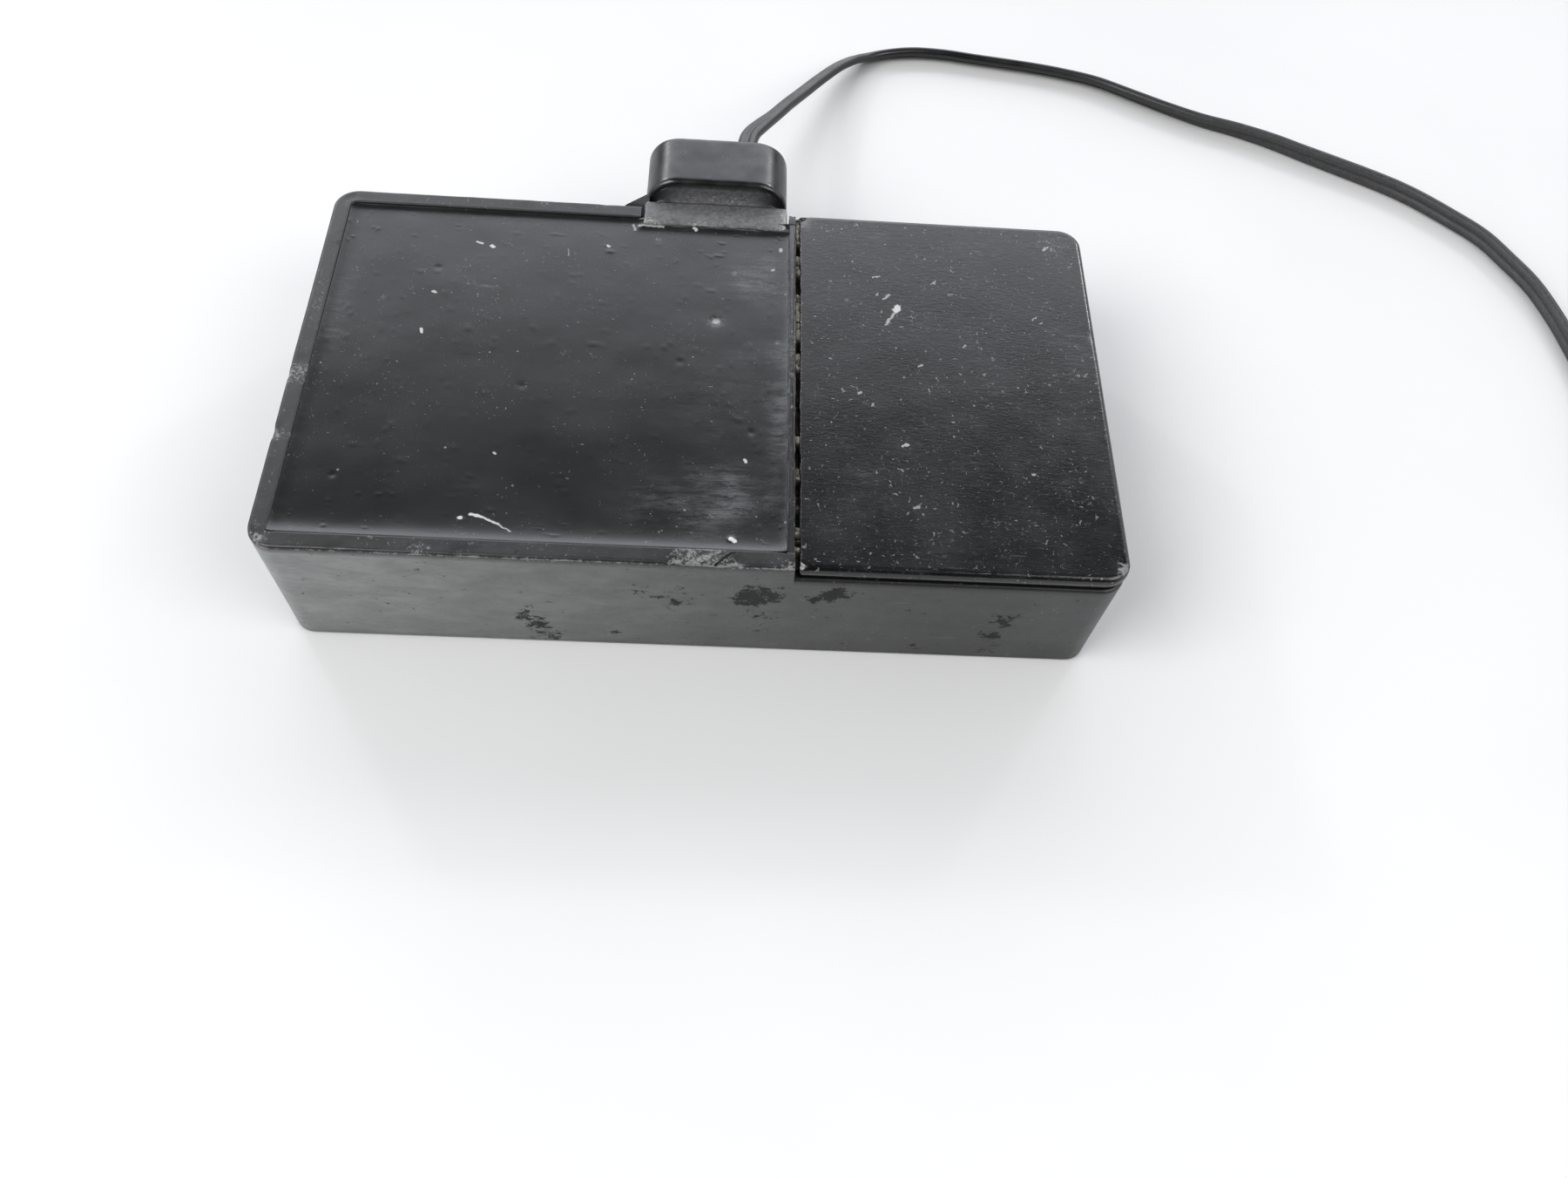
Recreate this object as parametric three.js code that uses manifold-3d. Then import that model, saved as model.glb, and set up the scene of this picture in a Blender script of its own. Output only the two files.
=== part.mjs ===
// A wired garage door opener module, built as a set of separate named pieces.
//
// Millimetres. The origin is the middle of the box's underside, which stands on z = 0. +X runs along
// the box towards the switch bay, +Y towards the cable side and +Z up through the cover.
//
// The moulded box is split by a wall. Its longer side holds the circuit board, sealed in resin. Its
// shorter side is the switch bay, closed by a lift-off cover. A flat two-core lead leaves through a
// rubber grommet in the back wall and ends in a small two-way connector.

import * as THREE from 'three';
import { mergeVertices } from 'three/addons/utils/BufferGeometryUtils.js';
import Module from 'manifold-3d';

const wasm = await Module();
wasm.setup();

// ---------------------------------------------------------------- driving sizes

const fit = 0.3; // gap kept between two pieces that lie against each other
const slide = 0.1; // gap on each side of a piece that slides or turns in its seat

const boxLength = 90;
const boxWidth = 51;
const boxHeight = 18.2;
const wall = 2;
const floorThickness = 2;
const cornerRadius = 2.75;
const edgeRound = 0.4; // rounding of the box's rim and foot
const draft = 0.4; // how far each side leans in from the rim to the foot
const dividerThickness = 0.9;

const coverLength = 34.4;
const coverThickness = 2;
const coverRound = 0.8;
const seamGap = 0.6; // between the divider and the cover
const lipDepth = 2.5;
const lipThickness = 1.2;
const pryNick = 0.7; // corner taken off beside the seam, for a fingernail

const resinDrop = 0.5; // resin level below the rim

const postHeight = 1.7;
const postRadius = 2;
const boardThickness = 1.6;
const mainBoardMargin = 2.5; // from the resin chamber's walls to the board's edges
const mainBoardGap = 1.5; // from the board's end to the divider
const bayBoardMargin = 0.8;
const ribbonLength = 13.2;
const ribbonWidth = 12;
const ribbonThickness = 0.6;
const ribbonShift = 2; // how far the ribbon's middle lies on the main board's side of the divider

const screwRadius = 1;
const screwHeadRadius = 1.9;
const screwHeadHeight = 1.3;
const bossRadius = 2.6;
const screwLength = 4.1;

const grommetGap = 0.2; // between its tab and the divider's line
const grommetWidth = 17.3;
const grommetRise = 2.5; // above the rim
const grommetDepth = 14; // from its top to its underside
const grommetRadius = 4;
const tabInside = 1.1; // how far the flush tab reaches inside the wall
const tabOutside = 0.8;
const neckLength = 0.9;
const neckInset = 1;
const neckDrop = 0.8; // below the rim
const blockLength = 8.1;

const leadWidth = 2.6; // two 1.3 mm cores side by side
const coreDiameter = 1.3;
const exitFromRight = 5; // where the lead leaves the far face, from the grommet's right side
const exitZ = 12;

const coilX = 133.8;
const coilY = 4;
const coilRadius = 13; // middle of the turns
const coilBand = 4.4; // width of the wound turns
const coilHeight = 5.4;
const tieWidth = 3;
const tieThickness = 0.8;

const plugWidth = 8;
const plugLength = 16;
const plugHeight = 6.4;
const plugWall = 1;
const plugMouth = 7; // depth of the mouth
const plugBack = 4; // depth of the seal's seat
const plugY = 27; // rear face
const pinPitch = 2.5;
const pinThickness = 1;
const pinLength = 10.5;

const switchCount = 8;
const switchPitch = 2.54;
const switchWidth = 9.6;
const switchEnds = 2; // plastic past the first and last slider, in all
const switchHeight = 5.2;
const sliderLength = 1.6;
const sliderWidth = 1.2;
const sliderStroke = 1.4;
const sliderDepth = 1.8; // below the switch's top
const sliderRise = 0.7; // above the switch's top
const switchFromLeft = 16.2; // its middle, from the bay board's left edge
const switchFromBack = 19.7; // its middle, from the bay board's back edge
const switchCode = [1, 0, 1, 1, 0, 0, 1, 0]; // 1 is a slider stored at its +X end

// ---------------------------------------------------------------- levels and lines worked out from them

const halfLength = boxLength / 2;
const halfWidth = boxWidth / 2;
const innerLeft = -halfLength + wall;
const innerRight = halfLength - wall;
const innerFront = -halfWidth + wall;
const innerBack = halfWidth - wall;
const coverLeft = halfLength - coverLength;
const dividerRight = coverLeft - seamGap;
const dividerLeft = dividerRight - dividerThickness;
const coverUnder = boxHeight - coverThickness;
const bayWallTop = coverUnder - fit;
const postTop = floorThickness + postHeight;
const boardUnder = postTop + fit;
const boardTop = boardUnder + boardThickness;
const partLevel = boardTop + fit;
const resinTop = boxHeight - resinDrop;

const mainBoard = {
  x: [innerLeft + mainBoardMargin, dividerLeft - mainBoardGap],
  y: [innerFront + mainBoardMargin, innerBack - mainBoardMargin],
  z: [boardUnder, boardTop],
};
const bayBoard = {
  x: [dividerRight + bayBoardMargin, innerRight - bayBoardMargin],
  y: [innerFront + bayBoardMargin, innerBack - bayBoardMargin],
  z: [boardUnder, boardTop],
};
const ribbonMiddle = (dividerLeft + dividerRight) / 2 - ribbonShift;
const ribbon = {
  x: [ribbonMiddle - ribbonLength / 2, ribbonMiddle + ribbonLength / 2],
  y: [-ribbonWidth / 2, ribbonWidth / 2],
  z: [partLevel, partLevel + ribbonThickness],
};

const [mainLeft, mainRight] = mainBoard.x;
const [mainFront, mainBack] = mainBoard.y;
const [bayLeft, bayRight] = bayBoard.x;
const [bayFront, bayBack] = bayBoard.y;

const grommetRight = dividerLeft - grommetGap;
const grommetLeft = grommetRight - grommetWidth;
const grommetTop = boxHeight + grommetRise;
const grommetUnder = grommetTop - grommetDepth;
const exitX = grommetRight - exitFromRight;
const tabFront = innerBack - tabInside;
const tabBack = halfWidth + tabOutside;
const blockFront = tabBack + neckLength;
const blockBack = blockFront + blockLength;

// ---------------------------------------------------------------- shapes

// Turns a closed three.js geometry into a solid that can be joined and cut.
function solid(geometry) {
  const plain = geometry.clone();
  plain.deleteAttribute('normal');
  plain.deleteAttribute('uv');
  const merged = mergeVertices(plain, 1e-5);
  return new wasm.Manifold(
    new wasm.Mesh({
      numProp: 3,
      vertProperties: Float32Array.from(merged.attributes.position.array),
      triVerts: Uint32Array.from(merged.index.array),
    }),
  );
}

function geometryOf(body) {
  const mesh = body.getMesh();
  const geometry = new THREE.BufferGeometry();
  geometry.setAttribute('position', new THREE.BufferAttribute(Float32Array.from(mesh.vertProperties), 3));
  geometry.setIndex(new THREE.BufferAttribute(Uint32Array.from(mesh.triVerts), 1));
  geometry.computeVertexNormals();
  return geometry;
}

function block({ x, y, z }) {
  const geometry = new THREE.BoxGeometry(x[1] - x[0], y[1] - y[0], z[1] - z[0]);
  return geometry.translate((x[0] + x[1]) / 2, (y[0] + y[1]) / 2, (z[0] + z[1]) / 2);
}

function grow({ x, y, z }, by) {
  return { x: [x[0] - by, x[1] + by], y: [y[0] - by, y[1] + by], z: [z[0] - by, z[1] + by] };
}

// A box from its middle in plan, its sizes and its underside.
function seat(x, y, sizeX, sizeY, sizeZ, under = partLevel) {
  return { x: [x - sizeX / 2, x + sizeX / 2], y: [y - sizeY / 2, y + sizeY / 2], z: [under, under + sizeZ] };
}

// A rectangle with its own radius at each corner: front left, front right, back right, back left.
function roundedOutline([x0, x1], [y0, y1], [fl, fr, br, bl]) {
  const shape = new THREE.Shape();
  shape.moveTo(x0 + fl, y0);
  shape.lineTo(x1 - fr, y0);
  if (fr) shape.absarc(x1 - fr, y0 + fr, fr, -Math.PI / 2, 0, false);
  shape.lineTo(x1, y1 - br);
  if (br) shape.absarc(x1 - br, y1 - br, br, 0, Math.PI / 2, false);
  shape.lineTo(x0 + bl, y1);
  if (bl) shape.absarc(x0 + bl, y1 - bl, bl, Math.PI / 2, Math.PI, false);
  shape.lineTo(x0, y0 + fl);
  if (fl) shape.absarc(x0 + fl, y0 + fl, fl, Math.PI, 1.5 * Math.PI, false);
  return shape;
}

// An upright slab of that outline, with its top and bottom edges rounded by edge.
function slab(shape, [z0, z1], edge = 0, curveSegments = 5) {
  const geometry = new THREE.ExtrudeGeometry(shape, {
    depth: z1 - z0 - 2 * edge,
    curveSegments,
    bevelEnabled: edge > 0,
    bevelThickness: edge,
    bevelSize: edge,
    bevelOffset: -edge,
    bevelSegments: 3,
  });
  return geometry.translate(0, 0, z0 + edge);
}

function cylinder(x, y, radius, [z0, z1], sides = 20) {
  const geometry = new THREE.CylinderGeometry(radius, radius, z1 - z0, sides);
  return geometry.rotateX(Math.PI / 2).translate(x, y, (z0 + z1) / 2);
}

// A turned piece from points [radius, height], standing on z = 0 at x, y.
function turned(points, x, y, z, sides = 20) {
  const profile = points.map(([radius, height]) => new THREE.Vector2(radius, height));
  return new THREE.LatheGeometry(profile, sides).rotateX(Math.PI / 2).translate(x, y, z);
}

function ringOfPoints(radius, sides) {
  const points = [];
  for (let i = 0; i < sides; i += 1) {
    const angle = ((i + 0.5) / sides) * 2 * Math.PI;
    points.push(new THREE.Vector2(radius * Math.cos(angle), radius * Math.sin(angle)));
  }
  return new THREE.Shape(points);
}

function tube(points, radius, steps, sides = 8) {
  const curve = new THREE.CatmullRomCurve3(points.map((p) => new THREE.Vector3(...p)), false, 'centripetal');
  const section = ringOfPoints(radius, sides);
  return new THREE.ExtrudeGeometry(section, { steps, extrudePath: curve, bevelEnabled: false });
}

function cut(body, ...geometries) {
  return geometries.reduce((left, geometry) => left.subtract(solid(geometry)), body);
}

function join(body, ...geometries) {
  return geometries.reduce((whole, geometry) => whole.add(solid(geometry)), body);
}

// ---------------------------------------------------------------- materials and the list of pieces

const looks = {
  shell: { color: 0x1b1b1c, roughness: 0.55, metalness: 0 },
  resin: { color: 0x111112, roughness: 0.3, metalness: 0 },
  rubber: { color: 0x161616, roughness: 0.45, metalness: 0 },
  board: { color: 0x1e5a32, roughness: 0.5, metalness: 0 },
  chip: { color: 0x202022, roughness: 0.5, metalness: 0 },
  steel: { color: 0xb4b6b8, roughness: 0.3, metalness: 1 },
  copper: { color: 0xb8734a, roughness: 0.35, metalness: 1 },
  beige: { color: 0xc9b28a, roughness: 0.6, metalness: 0 },
  red: { color: 0xa3231d, roughness: 0.4, metalness: 0 },
  white: { color: 0xe6e4dc, roughness: 0.45, metalness: 0 },
  blue: { color: 0x23478f, roughness: 0.4, metalness: 0 },
  brass: { color: 0xc3a35a, roughness: 0.3, metalness: 1 },
  tie: { color: 0x2a2a2c, roughness: 0.5, metalness: 0 },
};

const opener = new THREE.Group();

function piece(name, geometry, look) {
  const mesh = new THREE.Mesh(geometry, new THREE.MeshStandardMaterial(looks[look]));
  mesh.name = name;
  opener.add(mesh);
  return mesh;
}

// ---------------------------------------------------------------- the moulded box

const postInset = 3;
const mainPosts = [];
const bayPosts = [];
for (const y of [mainBoard.y[0] + postInset, mainBoard.y[1] - postInset]) {
  for (const x of [mainBoard.x[0] + postInset, mainBoard.x[1] - postInset]) {
    mainPosts.push([x, y]);
  }
  for (const x of [bayBoard.x[0] + postInset, bayBoard.x[1] - postInset]) {
    bayPosts.push([x, y]);
  }
}
const screwPlaces = bayPosts.filter(([, y]) => y > 0);
const screwFloor = boardTop + fit - screwLength + screwHeadHeight;

function leanIn(geometry) {
  const p = geometry.attributes.position;
  for (let i = 0; i < p.count; i += 1) {
    const by = draft * (1 - p.getZ(i) / boxHeight);
    p.setXY(i, p.getX(i) - Math.sign(p.getX(i)) * by, p.getY(i) - Math.sign(p.getY(i)) * by);
  }
  return geometry;
}

function makeCase() {
  const r = cornerRadius;
  const inner = cornerRadius - wall;
  const outline = roundedOutline([-halfLength, halfLength], [-halfWidth, halfWidth], [r, r, r, r]);
  let body = solid(leanIn(slab(outline, [0, boxHeight], edgeRound)));
  const above = boxHeight + 1;
  body = cut(
    body,
    slab(roundedOutline([innerLeft, dividerLeft], [innerFront, innerBack], [inner, 0, 0, inner]), [
      floorThickness,
      above,
    ]),
    slab(roundedOutline([dividerRight, innerRight], [innerFront, innerBack], [0, inner, inner, 0]), [
      floorThickness,
      above,
    ]),
    block({ x: [dividerRight, halfLength + 1], y: [-halfWidth - 1, halfWidth + 1], z: [bayWallTop, above] }),
    block({
      x: [grommetLeft - fit, grommetRight + fit],
      y: [innerBack - 0.01, halfWidth + 1],
      z: [grommetUnder - fit, above],
    }),
    block({
      x: [dividerLeft - 0.01, dividerRight + 0.01],
      y: [ribbon.y[0] - fit, ribbon.y[1] + fit],
      z: [ribbon.z[0] - fit, ribbon.z[1] + fit],
    }),
  );
  const buried = floorThickness - 0.5;
  for (const [x, y] of [...mainPosts, ...bayPosts.filter(([, py]) => py < 0)]) {
    body = join(body, cylinder(x, y, postRadius, [buried, postTop], 16));
  }
  for (const [x, y] of screwPlaces) {
    body = join(body, cylinder(x, y, bossRadius, [buried, postTop], 20));
    body = cut(body, cylinder(x, y, screwRadius + fit, [screwFloor - fit, postTop + 1], 16));
  }
  return geometryOf(body);
}
piece('case_shell', makeCase(), 'shell');

// ---------------------------------------------------------------- the bay's cover

function makeCover() {
  const r = cornerRadius;
  const plan = roundedOutline([coverLeft, halfLength], [-halfWidth, halfWidth], [0.9, r, r, 0.9]);
  // The slab is made twice as tall and its lower half cut off, so that only its top edge is rounded.
  let body = solid(slab(plan, [coverUnder - coverThickness, boxHeight], coverRound));
  body = cut(
    body,
    block({
      x: [coverLeft - 1, halfLength + 1],
      y: [-halfWidth - 1, halfWidth + 1],
      z: [coverUnder - coverThickness - 1, coverUnder],
    }),
  );
  const lip = {
    x: [coverLeft, innerRight - fit],
    y: [innerFront + fit, innerBack - fit],
    z: [coverUnder - lipDepth, coverUnder + 0.5],
  };
  const inside = {
    x: [lip.x[0] + lipThickness, lip.x[1] - lipThickness],
    y: [lip.y[0] + lipThickness, lip.y[1] - lipThickness],
    z: [lip.z[0] - 1, coverUnder],
  };
  const frame = cut(solid(slab(roundedOutline(lip.x, lip.y, [0.2, 0.6, 0.6, 0.2]), lip.z)), block(inside));
  body = body.add(frame);
  const nick = new THREE.Shape([
    new THREE.Vector2(coverLeft - 1, halfWidth - pryNick),
    new THREE.Vector2(coverLeft, halfWidth - pryNick),
    new THREE.Vector2(coverLeft + pryNick, halfWidth + 1),
    new THREE.Vector2(coverLeft - 1, halfWidth + 1),
  ]);
  return geometryOf(cut(body, slab(nick, [coverUnder - 1, boxHeight + 1])));
}
piece('access_cover', makeCover(), 'shell');

// ---------------------------------------------------------------- boards, ribbon and screws

piece('main_board', block(mainBoard), 'board');

function makeBayBoard() {
  const through = [boardUnder - 1, boardTop + 1];
  const holes = screwPlaces.map(([x, y]) => cylinder(x, y, screwRadius + fit, through, 16));
  return geometryOf(cut(solid(block(bayBoard)), ...holes));
}
piece('switch_board', makeBayBoard(), 'board');
piece('ribbon_link', block(ribbon), 'beige');

function makeScrew(x, y) {
  const headBottom = boardTop + fit;
  const crown = screwHeadHeight;
  const body = solid(
    turned(
      [
        [0, screwFloor - headBottom],
        [screwRadius * 0.6, screwFloor - headBottom],
        [screwRadius, screwFloor - headBottom + 0.4],
        [screwRadius, 0],
        [screwHeadRadius, 0],
        [screwHeadRadius, crown * 0.5],
        [screwHeadRadius * 0.7, crown],
        [0, crown],
      ],
      x,
      y,
      headBottom,
    ),
  );
  const slot = { z: [headBottom + crown * 0.5, headBottom + crown + 1] };
  const arm = screwHeadRadius * 0.55;
  const half = 0.22;
  return geometryOf(
    cut(
      body,
      block({ x: [x - arm, x + arm], y: [y - half, y + half], ...slot }),
      block({ x: [x - half, x + half], y: [y - arm, y + arm], ...slot }),
    ),
  );
}
screwPlaces.forEach(([x, y], i) => piece(`board_screw_${i + 1}`, makeScrew(x, y), 'steel'));

// ---------------------------------------------------------------- parts sealed in the resin

const chip = seat(mainRight - 21.6, mainBack - 12, 22.9, 7.6, 3.6);

function makeChip() {
  const legCount = 9;
  const legWidth = 0.5;
  const legPitch = 2.54;
  const legRise = 2;
  const bodyInset = 0.6;
  let body = solid(
    block({ x: chip.x, y: [chip.y[0] + bodyInset, chip.y[1] - bodyInset], z: [chip.z[0] + 0.4, chip.z[1]] }),
  );
  for (let i = 0; i < legCount; i += 1) {
    const x = (chip.x[0] + chip.x[1]) / 2 + (i - (legCount - 1) / 2) * legPitch;
    for (const [y0, y1] of [
      [chip.y[0], chip.y[0] + bodyInset + 0.1],
      [chip.y[1] - bodyInset - 0.1, chip.y[1]],
    ]) {
      const across = [x - legWidth / 2, x + legWidth / 2];
      body = join(body, block({ x: across, y: [y0, y1], z: [chip.z[0], chip.z[0] + legRise] }));
    }
  }
  return geometryOf(body);
}
piece('encoder_chip', makeChip(), 'chip');

const resonator = { x: mainLeft + 10.5, y: mainFront + 11, radius: 4.6, height: 3.6 };
piece(
  'saw_resonator',
  turned(
    [
      [0, 0],
      [resonator.radius, 0],
      [resonator.radius, 0.5],
      [resonator.radius - 0.5, 0.5],
      [resonator.radius - 0.5, resonator.height - 0.4],
      [resonator.radius - 0.9, resonator.height],
      [0, resonator.height],
    ],
    resonator.x,
    resonator.y,
    partLevel,
    24,
  ),
  'steel',
);

const crystal = seat(mainLeft + 10.5, mainBack - 17, 10.2, 3.8, 3.6);
piece('crystal', slab(roundedOutline(crystal.x, crystal.y, [1.8, 1.8, 1.8, 1.8]), crystal.z, 0.3), 'steel');

// A small transistor body: round with one flat side.
function flatSided(x, y, radius, height) {
  const shape = new THREE.Shape();
  const start = -0.28 * Math.PI;
  shape.absarc(x, y, radius, start, Math.PI - start, false);
  return slab(shape, [partLevel, partLevel + height], 0, 8);
}
const transistor = { x: mainLeft + 20.5, y: mainFront + 9, radius: 2.4, height: 4.8 };
const regulator = { x: mainRight - 10.8, y: mainFront + 7, radius: 2.4, height: 4.8 };
piece('oscillator_transistor', flatSided(...Object.values(transistor)), 'chip');
piece('voltage_regulator', flatSided(...Object.values(regulator)), 'chip');

const capacitor = { x: mainRight - 4.4, y: mainFront + 7, radius: 3.15, height: 7 };
piece(
  'filter_capacitor',
  turned(
    [
      [0, 0],
      [capacitor.radius, 0],
      [capacitor.radius, 0.8],
      [capacitor.radius - 0.3, 1.1],
      [capacitor.radius, 1.4],
      [capacitor.radius, capacitor.height - 0.3],
      [capacitor.radius - 0.3, capacitor.height],
      [0, capacitor.height],
    ],
    capacitor.x,
    capacitor.y,
    partLevel,
  ),
  'blue',
);

// A part with a lead at each end, lying along X just above the board.
function axialPart(x, y, bodyLength, radius, leadReach) {
  const wire = 0.3;
  const half = bodyLength / 2;
  const tip = half + leadReach;
  const profile = [
    [0, -tip],
    [wire, -tip],
    [wire, -half],
    [radius, -half + 0.3],
    [radius, -half + 1.4],
    [radius * 0.85, -half + 1.7],
    [radius * 0.85, half - 1.7],
    [radius, half - 1.4],
    [radius, half - 0.3],
    [wire, half],
    [wire, tip],
    [0, tip],
  ];
  const points = profile.map(([r, h]) => new THREE.Vector2(r, h));
  return new THREE.LatheGeometry(points, 14).rotateZ(-Math.PI / 2).translate(x, y, partLevel + radius);
}
const resistorLength = 6.3;
const resistorRadius = 1.15;
const resistorReach = 1.5;
const resistorPitch = 3.6;
const resistors = [0, 1, 2, 3].map((i) => ({ x: mainRight - 19.6, y: mainFront + 19 - resistorPitch * i }));
resistors.forEach(({ x, y }, i) => {
  piece(`resistor_${i + 1}`, axialPart(x, y, resistorLength, resistorRadius, resistorReach), 'beige');
});
const diode = { x: mainRight - 12.6, y: mainBack - 3.4, length: 5.2, radius: 1.35, reach: 1.5 };
piece('reverse_diode', axialPart(diode.x, diode.y, diode.length, diode.radius, diode.reach), 'chip');

const loopX = mainLeft + 2.9;
const loopHalf = mainBack - 6;
const loopTop = 13;
const loopRadius = 0.5;
const loopPath = [
  [loopX, -loopHalf, partLevel],
  [loopX, -loopHalf, loopTop - 2],
  [loopX, -loopHalf + 1.6, loopTop],
  [loopX, 0, loopTop],
  [loopX, loopHalf - 1.6, loopTop],
  [loopX, loopHalf, loopTop - 2],
  [loopX, loopHalf, partLevel],
];
piece('antenna_loop', tube(loopPath, loopRadius, 24), 'copper');

// The lead's two cores, from the grommet's inner face down to the board.
function corePath(offset) {
  const x = exitX + offset;
  const spread = exitX + 2 * offset;
  return [
    [x, tabFront - fit, exitZ],
    [x, tabFront - 1.6, exitZ - 0.6],
    [spread, tabFront - 3.4, exitZ - 3],
    [spread, tabFront - 4, partLevel],
  ];
}
const cores = { core_positive: -coreDiameter / 2 - 0.2, core_negative: coreDiameter / 2 + 0.2 };
for (const [name, offset] of Object.entries(cores)) {
  piece(name, tube(corePath(offset), coreDiameter / 2, 10), name === 'core_positive' ? 'red' : 'chip');
}

// ---------------------------------------------------------------- the resin

function makeResin() {
  const inner = cornerRadius - wall;
  const outline = roundedOutline(
    [innerLeft + fit, dividerLeft - fit],
    [innerFront + fit, innerBack - fit],
    [inner, 0, 0, inner],
  );
  const low = boardTop - 0.1;
  const pocket = (space) => block({ ...grow(space, fit), z: [low, space.z[1] + fit] });
  const well = ({ x, y, radius, height }) => cylinder(x, y, radius + fit, [low, partLevel + height + fit]);
  let body = solid(slab(outline, [floorThickness + fit, resinTop]));
  body = cut(
    body,
    block(grow(mainBoard, fit)),
    block({
      x: [ribbon.x[0] - fit, dividerLeft],
      y: grow(ribbon, fit).y,
      z: [low, ribbon.z[1] + fit],
    }),
    block({
      x: [grommetLeft - fit, grommetRight + fit],
      y: [tabFront - fit, halfWidth],
      z: [grommetUnder - fit, boxHeight],
    }),
    pocket(chip),
    pocket(crystal),
    pocket(seat(diode.x, diode.y, diode.length + 2 * diode.reach, 2 * diode.radius, 2 * diode.radius)),
    well(resonator),
    well(transistor),
    well(regulator),
    well(capacitor),
  );
  for (const { x, y } of resistors) {
    const space = seat(x, y, resistorLength + 2 * resistorReach, 2 * resistorRadius, 2 * resistorRadius);
    body = cut(body, pocket(space));
  }
  for (const [x, y] of mainPosts) {
    body = cut(body, cylinder(x, y, postRadius + fit, [floorThickness, boardUnder], 16));
  }
  const below = ([x, y, z]) => [x, y, z - 0.5];
  const deeper = (path) => path.map((point, i) => (i === path.length - 1 ? below(point) : point));
  body = cut(body, tube([below(loopPath[0]), ...deeper(loopPath).slice(1)], loopRadius + fit, 24));
  for (const offset of Object.values(cores)) {
    const path = corePath(offset);
    path[0] = [path[0][0], tabFront, path[0][2]];
    body = cut(body, tube(deeper(path), coreDiameter / 2 + fit, 10));
  }
  return geometryOf(body);
}
piece('potting_block', makeResin(), 'resin');

// ---------------------------------------------------------------- the cable grommet

// The section seen from behind: a block with two rounded upper corners.
function archShape(inset, radius, top) {
  const shape = roundedOutline(
    [grommetLeft + inset, grommetRight - inset],
    [grommetUnder + inset, top],
    [0.8, 0.8, radius, radius],
  );
  return shape;
}

function alongY(shape, [y0, y1], edge) {
  // The shape's second direction becomes +Z, and its depth runs along +Y.
  const geometry = slab(shape, [0, y1 - y0], edge, 8);
  return geometry.rotateX(Math.PI / 2).scale(1, -1, 1).translate(0, y0, 0);
}

// A mirrored geometry has its triangles turned inside out, so each is turned back.
function turnFaces(geometry) {
  const flipped = geometry.index ? geometry.toNonIndexed() : geometry;
  const p = flipped.attributes.position;
  for (let i = 0; i < p.count; i += 3) {
    const [x, y, z] = [p.getX(i), p.getY(i), p.getZ(i)];
    p.setXYZ(i, p.getX(i + 1), p.getY(i + 1), p.getZ(i + 1));
    p.setXYZ(i + 1, x, y, z);
  }
  return flipped;
}

function makeGrommet() {
  const tab = block({
    x: [grommetLeft, grommetRight],
    y: [tabFront, tabBack],
    z: [grommetUnder, boxHeight],
  });
  const neckTop = boxHeight - neckDrop;
  const neckShape = archShape(neckInset, grommetRadius - neckInset, neckTop);
  const neck = turnFaces(alongY(neckShape, [tabBack - 0.1, blockFront + 0.1], 0));
  const outerShape = archShape(0, grommetRadius, grommetTop);
  const outer = turnFaces(alongY(outerShape, [blockFront, blockBack], edgeRound));
  return geometryOf(solid(tab).add(solid(neck)).add(solid(outer)));
}
piece('cable_grommet', makeGrommet(), 'rubber');

// ---------------------------------------------------------------- parts in the switch bay

const switchX = bayLeft + switchFromLeft;
const switchY = bayBack - switchFromBack;
const switchLength = switchCount * switchPitch + switchEnds;
const switchSpace = seat(switchX, switchY, switchWidth, switchLength, switchHeight);
const switchTop = switchSpace.z[1];
const slotHalf = (sliderLength + sliderStroke) / 2 + slide;

function sliderY(i) {
  return switchY + (i - (switchCount - 1) / 2) * switchPitch;
}

function makeSwitchBody() {
  let body = solid(block(switchSpace));
  for (let i = 0; i < switchCount; i += 1) {
    const half = sliderWidth / 2 + slide;
    body = cut(
      body,
      block({
        x: [switchX - slotHalf, switchX + slotHalf],
        y: [sliderY(i) - half, sliderY(i) + half],
        z: [switchTop - sliderDepth - slide, switchTop + 1],
      }),
    );
  }
  return geometryOf(body);
}
piece('dip_switch_body', makeSwitchBody(), 'red');

for (let i = 0; i < switchCount; i += 1) {
  const middle = switchX + (switchCode[i] - 0.5) * sliderStroke;
  const sliderUnder = switchTop - sliderDepth;
  const space = seat(middle, sliderY(i), sliderLength, sliderWidth, sliderDepth + sliderRise, sliderUnder);
  piece(`dip_slider_${i + 1}`, block(space), 'white');
}

piece('pull_up_network', block(seat(bayLeft + 6.5, switchY, 2.2, switchLength + 0.5, 4.6)), 'beige');

const button = {
  x: bayLeft + 6.7,
  y: bayFront + 7.2,
  size: 6,
  height: 3.5,
  capRadius: 1.75,
  capDepth: 1.8,
  rise: 1.2,
  travel: 0.25,
};
const buttonTop = partLevel + button.height;
const capUnder = buttonTop - button.capDepth;
piece(
  'learn_button_body',
  geometryOf(
    cut(
      solid(block(seat(button.x, button.y, button.size, button.size, button.height))),
      cylinder(button.x, button.y, button.capRadius + slide, [capUnder - button.travel - fit, buttonTop + 1]),
    ),
  ),
  'steel',
);
const capTop = buttonTop + button.rise;
piece('learn_button_cap', cylinder(button.x, button.y, button.capRadius, [capUnder, capTop]), 'chip');

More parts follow.
